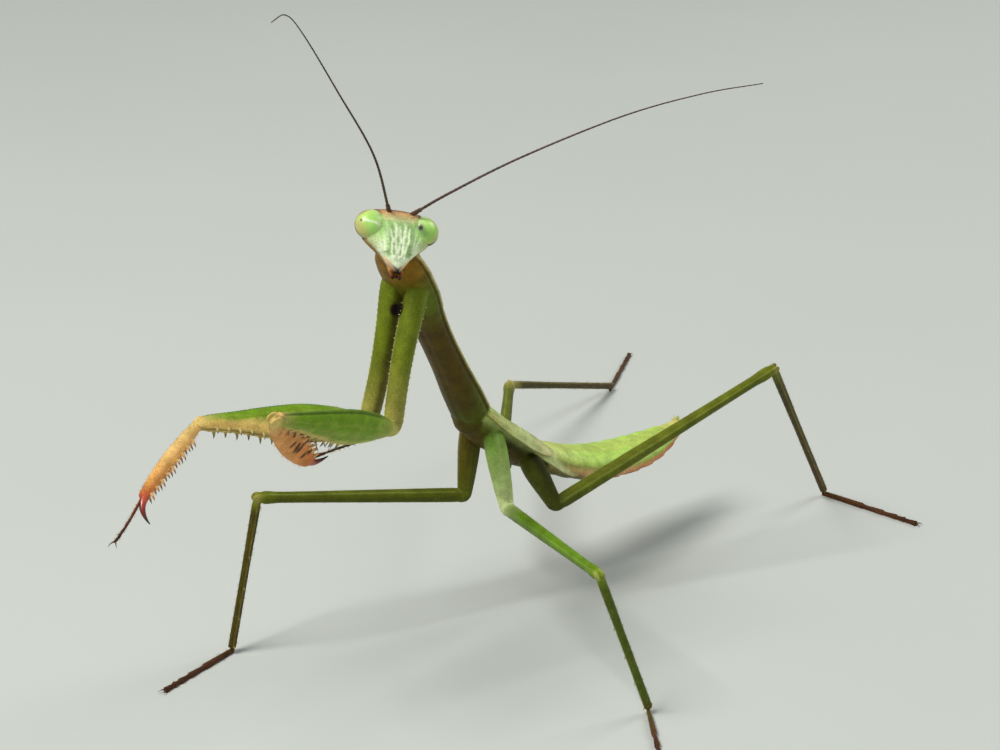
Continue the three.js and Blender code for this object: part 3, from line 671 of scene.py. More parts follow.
def thorax_tint(grid):
    down = smooth(-grid.sine, -0.1, 0.45)
    above = ramp(grid.along, (0, LEAF_PALE), (5, mix(LEAF_PALE, STRAW, 0.3)), (10, LEAF_PALE))
    # Below the wing pads the thorax is painted dark olive going towards black, as painted shade on its front,
    # flank and underside.
    front = mix(OLIVE, OLIVE_DARK, 0.5)
    below = ramp(grid.along, (0, front), (1.8, front), (3.2, mix(LEAF_DARK, OLIVE_DARK, 0.5)),
                 (4.6, mix(OLIVE_DARK, NIGHT, 0.4)), (10, mix(OLIVE_DARK, NIGHT, 0.5)))
    below = mix(below, mix(OLIVE_DARK, BARK, 0.5), 0.9 * fade(grid.turn(-90), 0.75, 1.15))
    seams = sum(bump(grid.along, edge, 0.1) for edge in PLATE_EDGES)
    return overlay(above, (below, down), (STRAW, 0.4 * np.clip(seams, 0, 1) * (1 - down)))


tube("thorax", body_line(thorax, THORAX_ROWS),
     rows_between(THORAX_ROWS, THORAX_ROWS[0][0], THORAX_ROWS[-1][0]),
     thorax_tint, (0.3, 0.3), step=0.09, relief=thorax_relief)


def pad_veins(grid):
    return np.cos(grid.left * PAD_VEINS + 0.5 * np.sin(grid.along))


def pad_relief(grid):
    return 0.028 * pad_veins(grid) * (grid.sine > 0) + 0.03 * smooth(np.abs(grid.cosine), 0.85, 1.0)


def pad_tint(grid):
    base = ramp(grid.t, (0, mix(LEAF_PALE, STRAW, 0.5)), (0.6, mix(LEAF_PALE, CREAM, 0.4)),
                (1, mix(CREAM, STRAW, 0.5)))
    between_veins = 1 - (0.5 + 0.5 * pad_veins(grid))
    return overlay(base, (mix(LEAF, OLIVE, 0.4), 0.2 * between_veins),
                   (mix(OLIVE_DARK, BARK, 0.4), 0.6 * smooth(np.abs(grid.cosine), 0.9, 1.0)))


def build_wing_pads():
    for kind, pad in WING_PADS.items():
        rows = even(*((t, wide * pad["width"], thick * PAD_HALF_THICKNESS) for t, wide, thick in PAD_OUTLINE))
        for side_name, side in SIDES.items():
            start = in_frame(mid_joint, thorax, pad["start"], pad["out"] * side, pad["rise"])
            end = in_frame(mid_joint, thorax, pad["end"], (pad["out"] + PAD_SPREAD) * side,
                           pad["rise"] - PAD_DROP)
            slope = unit(thorax[2] + thorax[1] * PAD_SLOPE * side)
            tube(f"wing_pad_{kind}_{side_name}", straight(start, end, slope), rows, pad_tint, (0.2, 0.25),
                 step=0.07, relief=pad_relief)


build_wing_pads()


# ---------------------------------------------------------------- abdomen
ABDOMEN_STEPS = 120
ABDOMEN_ROWS = 24
ABDOMEN_SEGMENTS = 10
PLEAT_ANGLES = (-22, 202)
CERCUS_ROWS = even((0, 0.25, 0.25), (0.6, 0.22, 0.22), (1, 0.1, 0.1))
# From the abdomen's tip: forward, out and up.
CERCUS_ENDS = ((0.35, 0.28, 0.05), (-1.1, 0.75, -0.15))


def abdomen_path():
    """The middle line bends evenly from the base direction to the tip direction."""
    point = thorax_end.copy()
    points = []
    for i in range(ABDOMEN_STEPS + 1):
        t = i / ABDOMEN_STEPS
        axes = body_frame(direction([a + (b - a) * t for a, b in zip(ABDOMEN_BASE_WAY, ABDOMEN_TIP_WAY)]))
        points.append(point)
        point = point - axes[0] * ABDOMEN_LENGTH / ABDOMEN_STEPS
    return np.array(points), axes


def abdomen_row(t):
    """The abdomen swells behind its base, and tapers to its tip."""
    swell = math.sin(math.pi * min(1, 0.16 + 0.76 * t))
    taper = 1 - 0.72 * t**5
    return t, (1.42 + 0.78 * swell) * taper, (0.86 + 0.12 * swell) * taper, (1.12 + 0.42 * swell) * taper


def segment_place(grid):
    """Where a point lies within its segment, 0 at the front edge and just under 1 at the back."""
    return (np.clip(grid.t, 0, 1) ** 0.92 * ABDOMEN_SEGMENTS) % 1.0


def abdomen_relief(grid):
    place = segment_place(grid)
    overlap = 0.07 * smooth(place, 0.2, 0.93) * fade(place, 0.95, 1.0) - 0.03
    pleat = 0.16 * grid.lines(0.12, *PLEAT_ANGLES) * (0.75 + 0.25 * np.sin(place * math.pi))
    fold = -0.09 * grid.lines(0.08, -36, 216, -8, 188)
    keel = 0.05 * grid.lines(0.1, 90)
    return overlap + pleat + fold + keel


def abdomen_tint(grid):
    place = segment_place(grid)
    up = smooth(grid.sine, -0.42, -0.18)
    bright = ramp(grid.t, (0, mix(LEAF_PALE, STRAW, 0.2)), (0.25, ABDOMEN_GREEN), (0.85, ABDOMEN_GREEN),
                  (1, STRAW))
    top = overlay(bright, (mix(OLIVE, STRAW, 0.5), 0.3 * smooth(grid.sine, 0.86, 0.97)),
                  (mix(STRAW, LEAF_PALE, 0.5), 0.5 * smooth(place, 0.86, 0.97)))
    # The underside is painted dark olive near the base as painted shade, turning to its own rust towards the
    # tip.
    under = ramp(grid.t, (0, OLIVE_DARK), (0.5, OLIVE), (1, mix(RUST, OLIVE, 0.4)))
    blush = ramp(grid.t, (0, STRAW), (0.25, PEACH), (0.6, mix(PEACH, ROSE, 0.6)), (0.85, ROSE), (1, STRAW))
    pleats, broad_pleats = (np.clip(grid.lines(width, *PLEAT_ANGLES), 0, 1) for width in (0.24, 0.34))
    red = np.clip(grid.lines(0.16, -31, 211), 0, 1) * smooth(grid.t, 0.3, 0.65)
    ticks = smooth(place, 0.9, 0.96) * pleats * smooth(grid.t, 0.3, 0.6)
    return overlay(under, (top, up), (blush, 0.9 * broad_pleats), (CRIMSON, 0.95 * red), (BROWN, 0.8 * ticks))


def cercus_relief(grid):
    return 0.03 * np.sin(grid.t * math.pi * 9) ** 2 - 0.03


def build_cerci():
    for side in SIDES.values():
        start, end = (in_frame(abdomen_points[-1], abdomen_tip_axes, forward, out * side, up)
                      for forward, out, up in CERCUS_ENDS)
        tube("cercus", straight(start, end, abdomen_tip_axes[2]), CERCUS_ROWS, plain(mix(STRAW, LEAF, 0.4)),
             (0.1, 0.08), step=0.045, relief=cercus_relief)


abdomen_points, abdomen_tip_axes = abdomen_path()
tube("abdomen", follow(abdomen_points, thorax[2]),
     [abdomen_row(k / ABDOMEN_ROWS) for k in range(ABDOMEN_ROWS + 1)],
     abdomen_tint, (0.4, 0.45), step=0.09, relief=abdomen_relief)
build_cerci()


# ---------------------------------------------------------------- fore legs
FORE_ROWS = {
    "coxa": even((-0.08, 0.40, 0.40), (-0.03, 0.72, 0.72), (0.08, 0.74, 0.80), (0.3, 0.70, 0.77),
                 (0.6, 0.64, 0.71),
                 (0.93, 0.60, 0.67), (1, 0.47, 0.51)),
    "femur": [(0, 0.36, 0.42, 0.42), (0.07, 0.50, 0.66, 0.66), (0.2, 0.64, 1.02, 1.25),
              (0.38, 0.70, 1.20, 1.62),
              (0.58, 0.62, 1.02, 1.30), (0.8, 0.48, 0.70, 0.75), (0.95, 0.42, 0.52, 0.52),
              (1, 0.34, 0.36, 0.36)],
    "tibia": [(0, 0.28, 0.38, 0.34), (0.12, 0.36, 0.50, 0.50), (0.5, 0.38, 0.58, 0.64),
              (0.85, 0.34, 0.48, 0.52),
              (1, 0.28, 0.36, 0.36)],
}
LIMB_ENDS = {"coxa": ("base", "coxa_end"), "femur": ("coxa_end", "knee"), "tibia": ("knee", "ankle")}
FEMUR_BOW = 0.1
# The left fore leg's tibia is folded and deep, the right one's stretched and slim: each one's bow, and
# its depth in general and on its underside as shares of the rows above.
TIBIA_SHAPES = {"l": (0.35, 1.0, 1.95), "r": (0.14, 0.76, 0.76)}
# How far the far ends of the coxae are shifted, in mm to the animal's left, back and up.
COXA_END_SHIFT = np.array([0.23, 0.22, 0.0])
COXA_EDGES = {"l": (-42, 148), "r": (-66, 128)}
TROCHANTER_AHEAD, TROCHANTER_RADII = 0.25, (0.85, 0.46, 0.6)
KNEE_LOBE_OUT, KNEE_LOBE_BACK, KNEE_LOBE_RADII = 0.26, 0.05, (0.5, 0.13, 0.42)
TARSUS_JOINTS = (0.0, 0.46, 0.66, 0.8, 0.88, 1.0)
TARSUS_RADIUS, TARSUS_BOW = 0.1, -0.1
# The dark spots of the folded tibia: each one's place along it, angle round it and size.
SPOTS = RANDOM.uniform(size=(26, 3)) * (0.62, 1.5, 0.05) + (0.25, -1.75, 0.06)
SPOT_STRETCH = (7.2, 0.55)


def outer_side(axis, following):
    """The side of a limb away from where the next one turns."""
    return unit(axis * np.dot(axis, following) - following)


def edges(angles, height, width=0.14, beads=0.0, pitch=0.5):
    """Relief for raised edges along a limb at some angles, beaded with small grains."""
    return lambda grid: height * grid.lines(width,
                                            *angles) * (1 + beads * np.cos(grid.along / pitch * 2 * math.pi))


def two_sided(above, below, lines=(), line_colour=NIGHT, line_width=0.12, strength=0.8):
    """A tint that runs along a limb differently above and below, with coloured lines along it."""
    def tint(grid):
        skin = mix(ramp(grid.t, *above), ramp(grid.t, *below), smooth(-grid.sine, -0.35, 0.35))
        drawn = np.clip(grid.lines(line_width, *lines), 0, 1)
        return mix(skin, line_colour, strength * drawn)

    return tint


def fore_chain(side_name):
    """The fore leg's joints and the up side of each of its limbs."""
    pose, side = FORE_POSES[side_name], SIDES[side_name]
    forward, out, up = SEATS["fore"]
    base = in_frame(neck_point, pro, forward, out * side, up)
    axes = {limb: direction(pose[limb]) for limb in FORE_LENGTHS}
    coxa_end = base + axes["coxa"] * FORE_LENGTHS["coxa"]
    knee = coxa_end + axes["femur"] * FORE_LENGTHS["femur"]
    ankle = knee + axes["tibia"] * FORE_LENGTHS["tibia"]
    coxa_end = coxa_end + COXA_END_SHIFT
    axes["coxa"], axes["femur"] = unit(coxa_end - base), unit(knee - coxa_end)
    dorsal = {
        "coxa": outer_side(axes["coxa"], axes["femur"]),
        "femur": outer_side(axes["femur"], axes["tibia"]),
        "tibia": outer_side(axes["tibia"], -axes["femur"]),
    }
    tibia_bow, depth, belly = TIBIA_SHAPES[side_name]
    tibia_rows = [(t, wide * depth, above * depth, below * belly) for t, wide, above,
                  below in FORE_ROWS["tibia"]]
    return {"base": base, "coxa_end": coxa_end, "knee": knee, "ankle": ankle, "axes": axes, "dorsal": dorsal,
            "bows": {"coxa": pose["bow"], "femur": FEMUR_BOW, "tibia": tibia_bow},
            "rows": {**FORE_ROWS, "tibia": tibia_rows}}


def limb_line(leg, limb):
    """A fore limb's middle line and rows."""
    start, end = LIMB_ENDS[limb]
    return straight(leg[start], leg[end], leg["dorsal"][limb], leg["bows"][limb]), leg["rows"][limb]


def fore_coxa_tint(side_name):
    """The coxa is olive with pale edges. Its inner side is painted darker as shade, with a black painted
    shadow at its base where the coxae part.
    """
    def tint(grid):
        skin = ramp(grid.t, (-0.05, mix(OLIVE, LEAF, 0.2)), (0.08, mix(OLIVE, LEAF, 0.15)),
                    (0.5, mix(OLIVE, LEAF, 0.1)), (0.8, mix(OLIVE, STRAW, 0.2)), (1, mix(OLIVE, STRAW, 0.4)))
        grains = np.clip(np.sin(grid.along * 23 + 5 * grid.left) * np.sin(grid.left * 29 - grid.along * 7),
                         0, 1)
        # Painted shade: the inner face darkens, and a black spot at its base stands for the shadow in the gap
        # between the coxae.
        shaded_inner_side = smooth(grid.inward, 0.5, 0.95)
        rim = np.clip(grid.lines(0.1, *COXA_EDGES[side_name]), 0, 1) * smooth(grid.t, 0.12, 0.25)
        painted_gap_shadow = np.clip(2.6 * bump(grid.t, 0.15, 0.05) * bump(grid.inward, 0.85, 0.35) - 0.6, 0, 1)
        return overlay(skin, (LEAF_DARK, 0.22 * grains), (mix(BARK, OLIVE_DARK, 0.5), 0.6 * shaded_inner_side),
                       (mix(STRAW, LEAF_PALE, 0.5), 0.7 * rim), (NIGHT, painted_gap_shadow))

    return tint


def fore_femur_tint(grid):
    high = grid.sine
    green = ramp(grid.t, (0, STRAW), (0.08, mix(LEAF, STRAW, 0.3)), (0.25, FEMUR_GREEN), (0.85, FEMUR_GREEN),
                 (1, mix(STRAW, LEAF, 0.3)))
    beige = ramp(grid.t, (0, STRAW), (0.3, mix(STRAW, LEAF, 0.4)), (0.6, mix(STRAW, ORANGE, 0.2)),
                 (1, mix(STRAW, ORANGE, 0.5)))
    low = 0.15 - 0.5 * grid.inward + np.interp(grid.t, (0.3, 0.9), (0.1, -0.15))
    streaks = 0.07 * np.sin(grid.along * 2.3 + 5 * high) + 0.03 * np.sin(grid.along * 9 - 4 * high)
    underside = smooth(-high, 0.55, 0.9) * smooth(grid.t, 0.05, 0.3)
    pale_lines = 0.25 * bump(high + streaks, -0.25, 0.2) + 0.2 * bump(high - streaks, 0.35, 0.1)
    upper_line = bump(high, 0.97, 0.035) * smooth(grid.t, 0.1, 0.25)
    lower_line = smooth(-high, 0.93, 0.99) * smooth(grid.t, 0.2, 0.4)
    return overlay(green, (beige, smooth(-high + streaks, low, low + 0.8)),
                   (mix(STRAW, OLIVE, 0.3), 0.55 * underside), (mix(STRAW, LEAF, 0.4), pale_lines),
                   (LEAF_DARK, 0.8 * upper_line), (BARK, 0.5 * lower_line))


def fore_femur_relief(grid):
    raised = edges((90, -58, -122), 0.07, 0.14, 0.25, 0.32)(grid)
    channel = -0.2 * grid.lines(0.3, -90) * smooth(grid.t, 0.3, 0.45)
    bulge = 0.06 * grid.lines(0.5, 0) * bump(grid.t, 0.35, 0.2)
    return raised + channel * fade(grid.t, 0.93, 0.99) + bulge


def fore_tibia_tint(side_name):
    """The folded tibia is a deeper orange, with dark spots towards its spines."""
    base = two_sided(
        [(0, STRAW), (0.12, mix(TAN, STRAW, 0.3)), (0.5, TAN), (0.85, ORANGE), (1, RUST)],
        [(0, TAN), (0.5, mix(ORANGE, TAN, 0.4)), (0.85, mix(ORANGE, RUST, 0.4)), (1, RUST)],
        lines=(90,), line_colour=mix(BROWN, TAN, 0.25), line_width=0.1)

    def spotted(grid):
        skin = mix(base(grid), DEEP_ORANGE, 0.6 * smooth(grid.t, 0.0, 0.2))
        for place, angle, size in SPOTS:
            for turned in (angle, math.pi - angle):
                along, around = (grid.t
                                 - place) * SPOT_STRETCH[0], grid.turn(math.degrees(turned)) * SPOT_STRETCH[1]
                spot = fade(np.hypot(along, around), size, size * 2.2)
                skin = mix(skin, mix(BROWN, NIGHT, 0.4), 0.9 * spot)
        return skin

    return spotted if side_name == "l" else base


def tarsus_rows(width, low):
    """Five foot joints: each narrows to a waist at its base and flares at its far end."""
    rows = []
    for start, end in zip(TARSUS_JOINTS, TARSUS_JOINTS[1:]):
        for place, share in ((0.04, 0.62), (0.75, 0.92), (0.93, 1)):
            rows.append((start + place * (end - start), share * width, share * width, low))
    return rows


def build_fore_leg(side_name):
    leg = fore_chain(side_name)
    axes, dorsal, inner = leg["axes"], leg["dorsal"], -pro[1] * SIDES[side_name]
    femur_axes = (axes["femur"], np.cross(dorsal["femur"], axes["femur"]), dorsal["femur"])
    tube(f"fore_coxa_{side_name}", *limb_line(leg, "coxa"), fore_coxa_tint(side_name), (0.1, 0.2), step=0.075,
         relief=edges(COXA_EDGES[side_name], 0.05, 0.15, 0.3, 0.42), inner=inner)
    blob("trochanter", leg["coxa_end"] + axes["femur"] * TROCHANTER_AHEAD, femur_axes, TROCHANTER_RADII,
         mix(STRAW, LEAF, 0.35), step=0.07)
    tube(f"fore_femur_{side_name}", *limb_line(leg, "femur"), fore_femur_tint, (0.2, 0.15), step=0.085,
         relief=fore_femur_relief, inner=inner)
    for face in (1, -1):
        lobe = leg["knee"] + femur_axes[1] * KNEE_LOBE_OUT * face - axes["femur"] * KNEE_LOBE_BACK
        blob("knee_lobe", lobe, femur_axes, KNEE_LOBE_RADII, mix(STRAW, ORANGE, 0.25), step=0.06)
    tube(f"fore_tibia_{side_name}", *limb_line(leg, "tibia"), fore_tibia_tint(side_name), (0.2, 0.2),
         step=0.06,
         relief=edges((90, -55, -125), 0.05, 0.16, 0.2, 0.3))
    root = leg["ankle"] + dorsal["tibia"] * 0.12 - axes["tibia"] * 0.3
    leg["tarsus_tip"] = root + axes["tarsus"] * FORE_LENGTHS["tarsus"]
    tube(f"fore_tarsus_{side_name}", straight(root, leg["tarsus_tip"], dorsal["tibia"], TARSUS_BOW),
         tarsus_rows(TARSUS_RADIUS, TARSUS_RADIUS),
         two_sided([(0, RUST), (0.15, mix(BROWN, RUST, 0.3)), (1, mix(BROWN, NIGHT, 0.4))],
                   [(0, BROWN), (1, NIGHT)]),
         (0.08, 0.08), step=0.045)
    return leg


fore_legs = {side_name: build_fore_leg(side_name) for side_name in SIDES}


# ---------------------------------------------------------------- walking legs
WALKING_ROWS = {
    "mid": {
        "coxa": even((-0.12, 0.42, 0.42), (-0.03, 0.72, 0.76), (0.2, 0.82, 0.86), (0.7, 0.68, 0.70),
                     (1, 0.50, 0.52)),
        "femur": even((0, 0.42, 0.44), (0.05, 0.50, 0.52), (0.35, 0.45, 0.48), (0.9, 0.36, 0.39),
                      (0.96, 0.42, 0.46),
                      (1, 0.32, 0.34)),
        "tibia": even((0, 0.26, 0.26), (0.06, 0.31, 0.32), (0.5, 0.28, 0.28), (1, 0.29, 0.29)),
    },
    "hind": {
        "coxa": even((-0.12, 0.42, 0.42), (-0.03, 0.72, 0.76), (0.2, 0.82, 0.86), (0.7, 0.66, 0.68),
                     (1, 0.52, 0.54)),
        "femur": even((0, 0.45, 0.48), (0.05, 0.55, 0.60), (0.3, 0.52, 0.56), (0.9, 0.38, 0.42),
                      (0.96, 0.44, 0.50),
                      (1, 0.34, 0.36)),
        "tibia": even((0, 0.27, 0.27), (0.04, 0.33, 0.34), (0.5, 0.29, 0.29), (1, 0.30, 0.30)),
    },
}
THIGH_LINES = (50, 130, -50, -130)
HIP_AHEAD, HIP_RADII = 0.3, (0.8, 0.54, 0.58)
WALKING_LOBE_OUT, WALKING_LOBE_RADII = 0.2, (0.42, 0.15, 0.38)
HEEL_BACK, HEEL_HEIGHT, TIP_HEIGHT = 0.15, 0.3, 0.2
FOOT_HALF_WIDTH, FOOT_DEPTH = 0.2, 0.4
# PALE_LEG is a walking leg's own colours. The legs under the body and on its far side take a darker copy as
# painted shade, with the near hind coxa painted near black.
PALE_LEG = {"coxa": MINT, "root": mix(CREAM, LEAF_PALE, 0.5), "femur": mix(LEAF, LEAF_DARK, 0.25),
            "knee": mix(LEAF, OLIVE, 0.4), "tibia": mix(OLIVE, LEAF_DARK, 0.6)}
SHADED_LEG = {"coxa": mix(OLIVE_DARK, BARK, 0.4), "root": mix(OLIVE, OLIVE_DARK, 0.5),
            "femur": mix(OLIVE, OLIVE_DARK, 0.3), "knee": OLIVE, "tibia": mix(OLIVE_DARK, BARK, 0.3)}
WALKING_COLOURS = {
    ("mid", "l"): PALE_LEG,
    ("mid", "r"): {**SHADED_LEG, "femur": mix(OLIVE, OLIVE_DARK, 0.5)},
    ("hind", "l"): {**SHADED_LEG, "femur": mix(OLIVE, OLIVE_DARK, 0.2), "root": mix(OLIVE_DARK, OLIVE, 0.2),
                    "coxa": mix(OLIVE_DARK, NIGHT, 0.5)},
    ("hind", "r"): {**SHADED_LEG, "knee": mix(OLIVE, STRAW, 0.4)},
}


def walking_chain(pair, side_name):
    """A walking leg's joints, with the slope of its tibia set so that the ankle is at its height."""
    pose, lengths, side = WALKING_POSES[pair, side_name], WALKING_LENGTHS[pair], SIDES[side_name]
    forward, out, up = SEATS[pair]
    base = in_frame(mid_joint, thorax, forward, out * side, up)
    axes = {"coxa": direction(pose["coxa"]), "femur": direction(pose["femur"])}
    coxa_end = base + axes["coxa"] * lengths["coxa"]
    knee = coxa_end + axes["femur"] * lengths["femur"]
    drop = math.degrees(math.asin((ANKLE_HEIGHT - knee[2]) / lengths["tibia"]))
    axes["tibia"] = direction((pose["tibia"], drop))
    axes["tarsus"] = direction((pose["tarsus"], 0))
    ankle = knee + axes["tibia"] * lengths["tibia"]
    return {"base": base, "coxa_end": coxa_end, "knee": knee, "ankle": ankle, "axes": axes,
            "dorsal": outer_side(axes["femur"], axes["tibia"])}


# The walking limbs are painted darker below than above, as painted shade.
def walking_coxa_tint(colours):
    coxa, root = colours["coxa"], colours["root"]
    return two_sided([(0, coxa), (0.6, mix(coxa, root, 0.4)), (1, root)],
                     [(0, mix(coxa, OLIVE, 0.4)), (1, root)],
                     lines=(90, -90), line_colour=mix(coxa, CREAM, 0.35), line_width=0.16, strength=0.35)


def walking_femur_tint(colours):
    root, thigh, knee = colours["root"], colours["femur"], colours["knee"]
    return two_sided([(0, root), (0.06, mix(thigh, root, 0.4)), (0.2, thigh), (0.9, thigh), (1, knee)],
                     [(0, root), (0.1, mix(thigh, OLIVE_DARK, 0.4)), (0.9, mix(thigh, OLIVE_DARK, 0.3)),
                      (1, knee)],
                     lines=THIGH_LINES, line_colour=mix(thigh, LEAF_PALE, 0.55), strength=0.35)


def walking_tibia_tint(colours):
    shin, knee = colours["tibia"], colours["knee"]
    return two_sided([(0, knee), (0.1, shin), (0.9, shin), (1, mix(shin, BROWN, 0.5))],
                     [(0, knee), (0.1, mix(shin, OLIVE_DARK, 0.5)), (1, mix(shin, BROWN, 0.6))],
                     lines=(0, 180), line_colour=mix(shin, STRAW, 0.5), line_width=0.16, strength=0.5)


def build_walking_leg(pair, side_name):
    leg, colours, rows = walking_chain(pair, side_name), WALKING_COLOURS[pair, side_name], WALKING_ROWS[pair]
    axes, dorsal, name = leg["axes"], leg["dorsal"], f"{pair}_{{}}_{side_name}".format
    femur_axes = (axes["femur"], np.cross(dorsal, axes["femur"]), dorsal)
    tube(name("coxa"), straight(leg["base"], leg["coxa_end"], axes["femur"]), rows["coxa"],
         walking_coxa_tint(colours), (0.15, 0.2), step=0.08, relief=edges((90, -90, 0, 180), 0.05, 0.18))
    blob("trochanter", leg["coxa_end"] + axes["femur"] * HIP_AHEAD, femur_axes, HIP_RADII, colours["root"],
         step=0.075)
    tube(name("femur"), straight(leg["coxa_end"], leg["knee"], dorsal), rows["femur"],
         walking_femur_tint(colours),
         (0.2, 0.2), step=0.085, relief=edges((*THIGH_LINES, 90), 0.04, 0.16))
    for face in (1, -1):
        blob("knee_lobe", leg["knee"] + femur_axes[1] * WALKING_LOBE_OUT * face, femur_axes,
             WALKING_LOBE_RADII,
             mix(colours["knee"], STRAW, 0.25), step=0.06)
    tube(name("tibia"), straight(leg["knee"], leg["ankle"], axes["femur"]), rows["tibia"],
         walking_tibia_tint(colours), (0.2, 0.1), step=0.08, relief=edges((0, 180, 90, -90), 0.025, 0.2))
    heel = leg["ankle"] - axes["tarsus"] * HEEL_BACK
    tip = heel + axes["tarsus"] * WALKING_LENGTHS[pair]["tarsus"]
    heel[2], tip[2] = HEEL_HEIGHT, TIP_HEIGHT
    foot = two_sided([(0, mix(colours["tibia"], BROWN, 0.5)), (0.5, BROWN), (1, mix(BROWN, NIGHT, 0.5))],
                     [(0, BROWN), (1, BROWN)])
    tube(name("tarsus"), straight(heel, tip, np.array([0, 0, 1.0])),
         tarsus_rows(FOOT_HALF_WIDTH, FOOT_DEPTH), foot,
         (0.15, 0.1), step=0.05, floor=True)
    leg["tarsus_tip"] = tip
    return leg


walking_legs = {pose: build_walking_leg(*pose) for pose in WALKING_POSES}


# ---------------------------------------------------------------- one skin
ATLAS_SCALE = {"head": 2.6, "jaw": 2.0, "neck": 1.4, "prothorax": 1.2}
ATLAS_GAP = 0.006
ATLAS_FIRST_SCALE, ATLAS_SHRINK = 0.03, 0.98
ATLAS_SHORTEST = 0.8
TINT_NAME = "Tint"
KNOWN_NAME = "Known"
COAT_UV = "OFBake"
# How many points from a seam its tints and its shape are evened out, and in how many rounds.
TINT_SEAM, SHAPE_SEAM = (6, 14), (3, 8)
SEAM_SHARE = 0.5
FILL_ROUNDS = 6
SHARP_ANGLE = math.radians(60)


def atlas_places(parts, scale):
    """Sets each part's place on the unwrap by shelves, or returns False where they don't fit in it."""
    shelf_u, shelf_v, shelf_height = ATLAS_GAP, ATLAS_GAP, 0.0
    for part in sorted(parts, key=lambda part: -part["long"]):
        wide, high = part["wide"] * scale, part["long"] * scale
        if shelf_u + wide + ATLAS_GAP > 1:
            shelf_u, shelf_v, shelf_height = ATLAS_GAP, shelf_v + shelf_height + ATLAS_GAP, 0.0
        if shelf_v + high + ATLAS_GAP > 1 or wide > 1 - 2 * ATLAS_GAP:
            return False
        part["uv"] = (shelf_u, shelf_v, wide, high)
        shelf_u += wide + ATLAS_GAP
        shelf_height = max(shelf_height, high)
    return True


def lay_out_atlas(parts):
    for part in parts:
        share = ATLAS_SCALE.get(part["name"], 1.0)
        part["wide"], part["long"] = part["girth"] * share, max(part["length"], ATLAS_SHORTEST) * share
    scale = ATLAS_FIRST_SCALE
    while not atlas_places(parts, scale):
        scale *= ATLAS_SHRINK


def closed_faces(rings, sides, first=0):
    """Quads between the rings of a closed tube, and a many-sided face at each end."""
    ring, side = np.arange(rings - 1)[:, None] * sides, np.arange(sides)[None, :]
    near, beside = ring + side, ring + (side + 1) % sides
    quads = first + np.stack([near, beside, beside + sides, near + sides], axis=-1).reshape(-1, 4)
    last = first + (rings - 1) * sides
    return [*quads.tolist(), list(range(first, first + sides))[::-1], list(range(last, last + sides))]


def part_uvs(part, rings, sides):
    left, low, wide, high = part["uv"]
    u = left + wide * np.arange(sides + 1) / sides
    v = low + high * np.arange(rings) / (rings - 1)
    first_u, second_u = (np.tile(values, (rings - 1, 1)) for values in (u[:-1], u[1:]))
    first_v, second_v = (np.tile(values[:, None], (1, sides)) for values in (v[:-1], v[1:]))
    corners = [(first_u, first_v), (second_u, first_v), (second_u, second_v), (first_u, second_v)]
    return np.stack([np.stack(corner, axis=-1) for corner in corners], axis=2).reshape(-1, 2)


def set_tints(mesh, tints):
    colours = np.column_stack([np.clip(tints, 0, 1), np.ones(len(tints))])
    mesh.attributes.new(TINT_NAME, "FLOAT_COLOR", "POINT").data.foreach_set("color", colours.ravel())


def skin_mesh(part):
    rings, sides = part["points"].shape[:2]
    mesh = bpy.data.meshes.new(part["name"])
    mesh.from_pydata(to_frame(part["points"].reshape(-1, 3)).tolist(), [], closed_faces(rings, sides))
    uvs = np.vstack([part_uvs(part, rings, sides), np.tile(part["uv"][:2], (2 * sides, 1))])
    mesh.uv_layers.new(name=COAT_UV).data.foreach_set("uv", uvs.ravel())
    set_tints(mesh, np.broadcast_to(part["tint"], (rings, sides, 3)).reshape(-1, 3))
    mesh.attributes.new(KNOWN_NAME, "FLOAT", "POINT").data.foreach_set("value", np.ones(rings * sides))
    return mesh


def read(data, field, width=1, kind=float):
    """One field of a mesh's points, edges or attributes, with a row for each."""
    values = np.empty(len(data) * width, dtype=kind)
    data.foreach_get(field, values)
    return values.reshape(-1, width)


def spread(values, edge_list, weights, rounds, share):
    """Moves each point's values towards its neighbours' mean, as far as its own weight allows."""
    count = len(values)
    degree = np.bincount(edge_list.ravel(), minlength=count)[:, None].clip(1)
    for _ in range(rounds):
        total = np.zeros_like(values)
        for k in range(values.shape[1]):
            total[:, k] = (np.bincount(edge_list[:, 0], values[edge_list[:, 1], k], count)
                           + np.bincount(edge_list[:, 1], values[edge_list[:, 0], k], count))
        values = values + (total / degree - values) * (weights[:, None] * share)
    return values


def near_seams(known, edge_list, reach):
    """1 at the points where two parts meet, fading to 0 a few points away."""
    weight = (known < 0.5).astype(float)
    for _ in range(reach):
        wider = weight.copy()
        np.maximum.at(wider, edge_list[:, 0], weight[edge_list[:, 1]] - 1 / (reach + 1))
        np.maximum.at(wider, edge_list[:, 1], weight[edge_list[:, 0]] - 1 / (reach + 1))
        weight = wider
    return weight


def fill_unknown(tints, known, edge_list):
    """Gives the points that the union made the mean tint of their known neighbours."""
    known = known >= 0.5
    for _ in range(FILL_ROUNDS):
        total, count = np.zeros((len(tints), 3)), np.zeros(len(tints))
        for here, there in (edge_list.T, edge_list.T[::-1]):
            use = known[there] & ~known[here]
            np.add.at(total, here[use], tints[there[use]])
            np.add.at(count, here[use], 1)
        found = count > 0
        tints[found] = total[found] / count[found, None]
        known = known | found
    return tints


def link(obj):
    bpy.context.scene.collection.objects.link(obj)
    return obj


def join_skin(parts):
    """One closed mesh of all the parts."""
    lay_out_atlas(parts)
    makers = [link(bpy.data.objects.new(part["name"], skin_mesh(part))) for part in parts]
    others = bpy.data.collections.new("others")
    for maker in makers[1:]:
        others.objects.link(maker)
    union = makers[0].modifiers.new("union", "BOOLEAN")
    union.operation, union.solver = "UNION", "MANIFOLD"
    union.operand_type, union.collection = "COLLECTION", others
    depsgraph = bpy.context.evaluated_depsgraph_get()
    mesh = bpy.data.meshes.new_from_object(makers[0].evaluated_get(depsgraph))
    for maker in makers:
        bpy.data.objects.remove(maker)
    bpy.data.collections.remove(others)
    return mesh


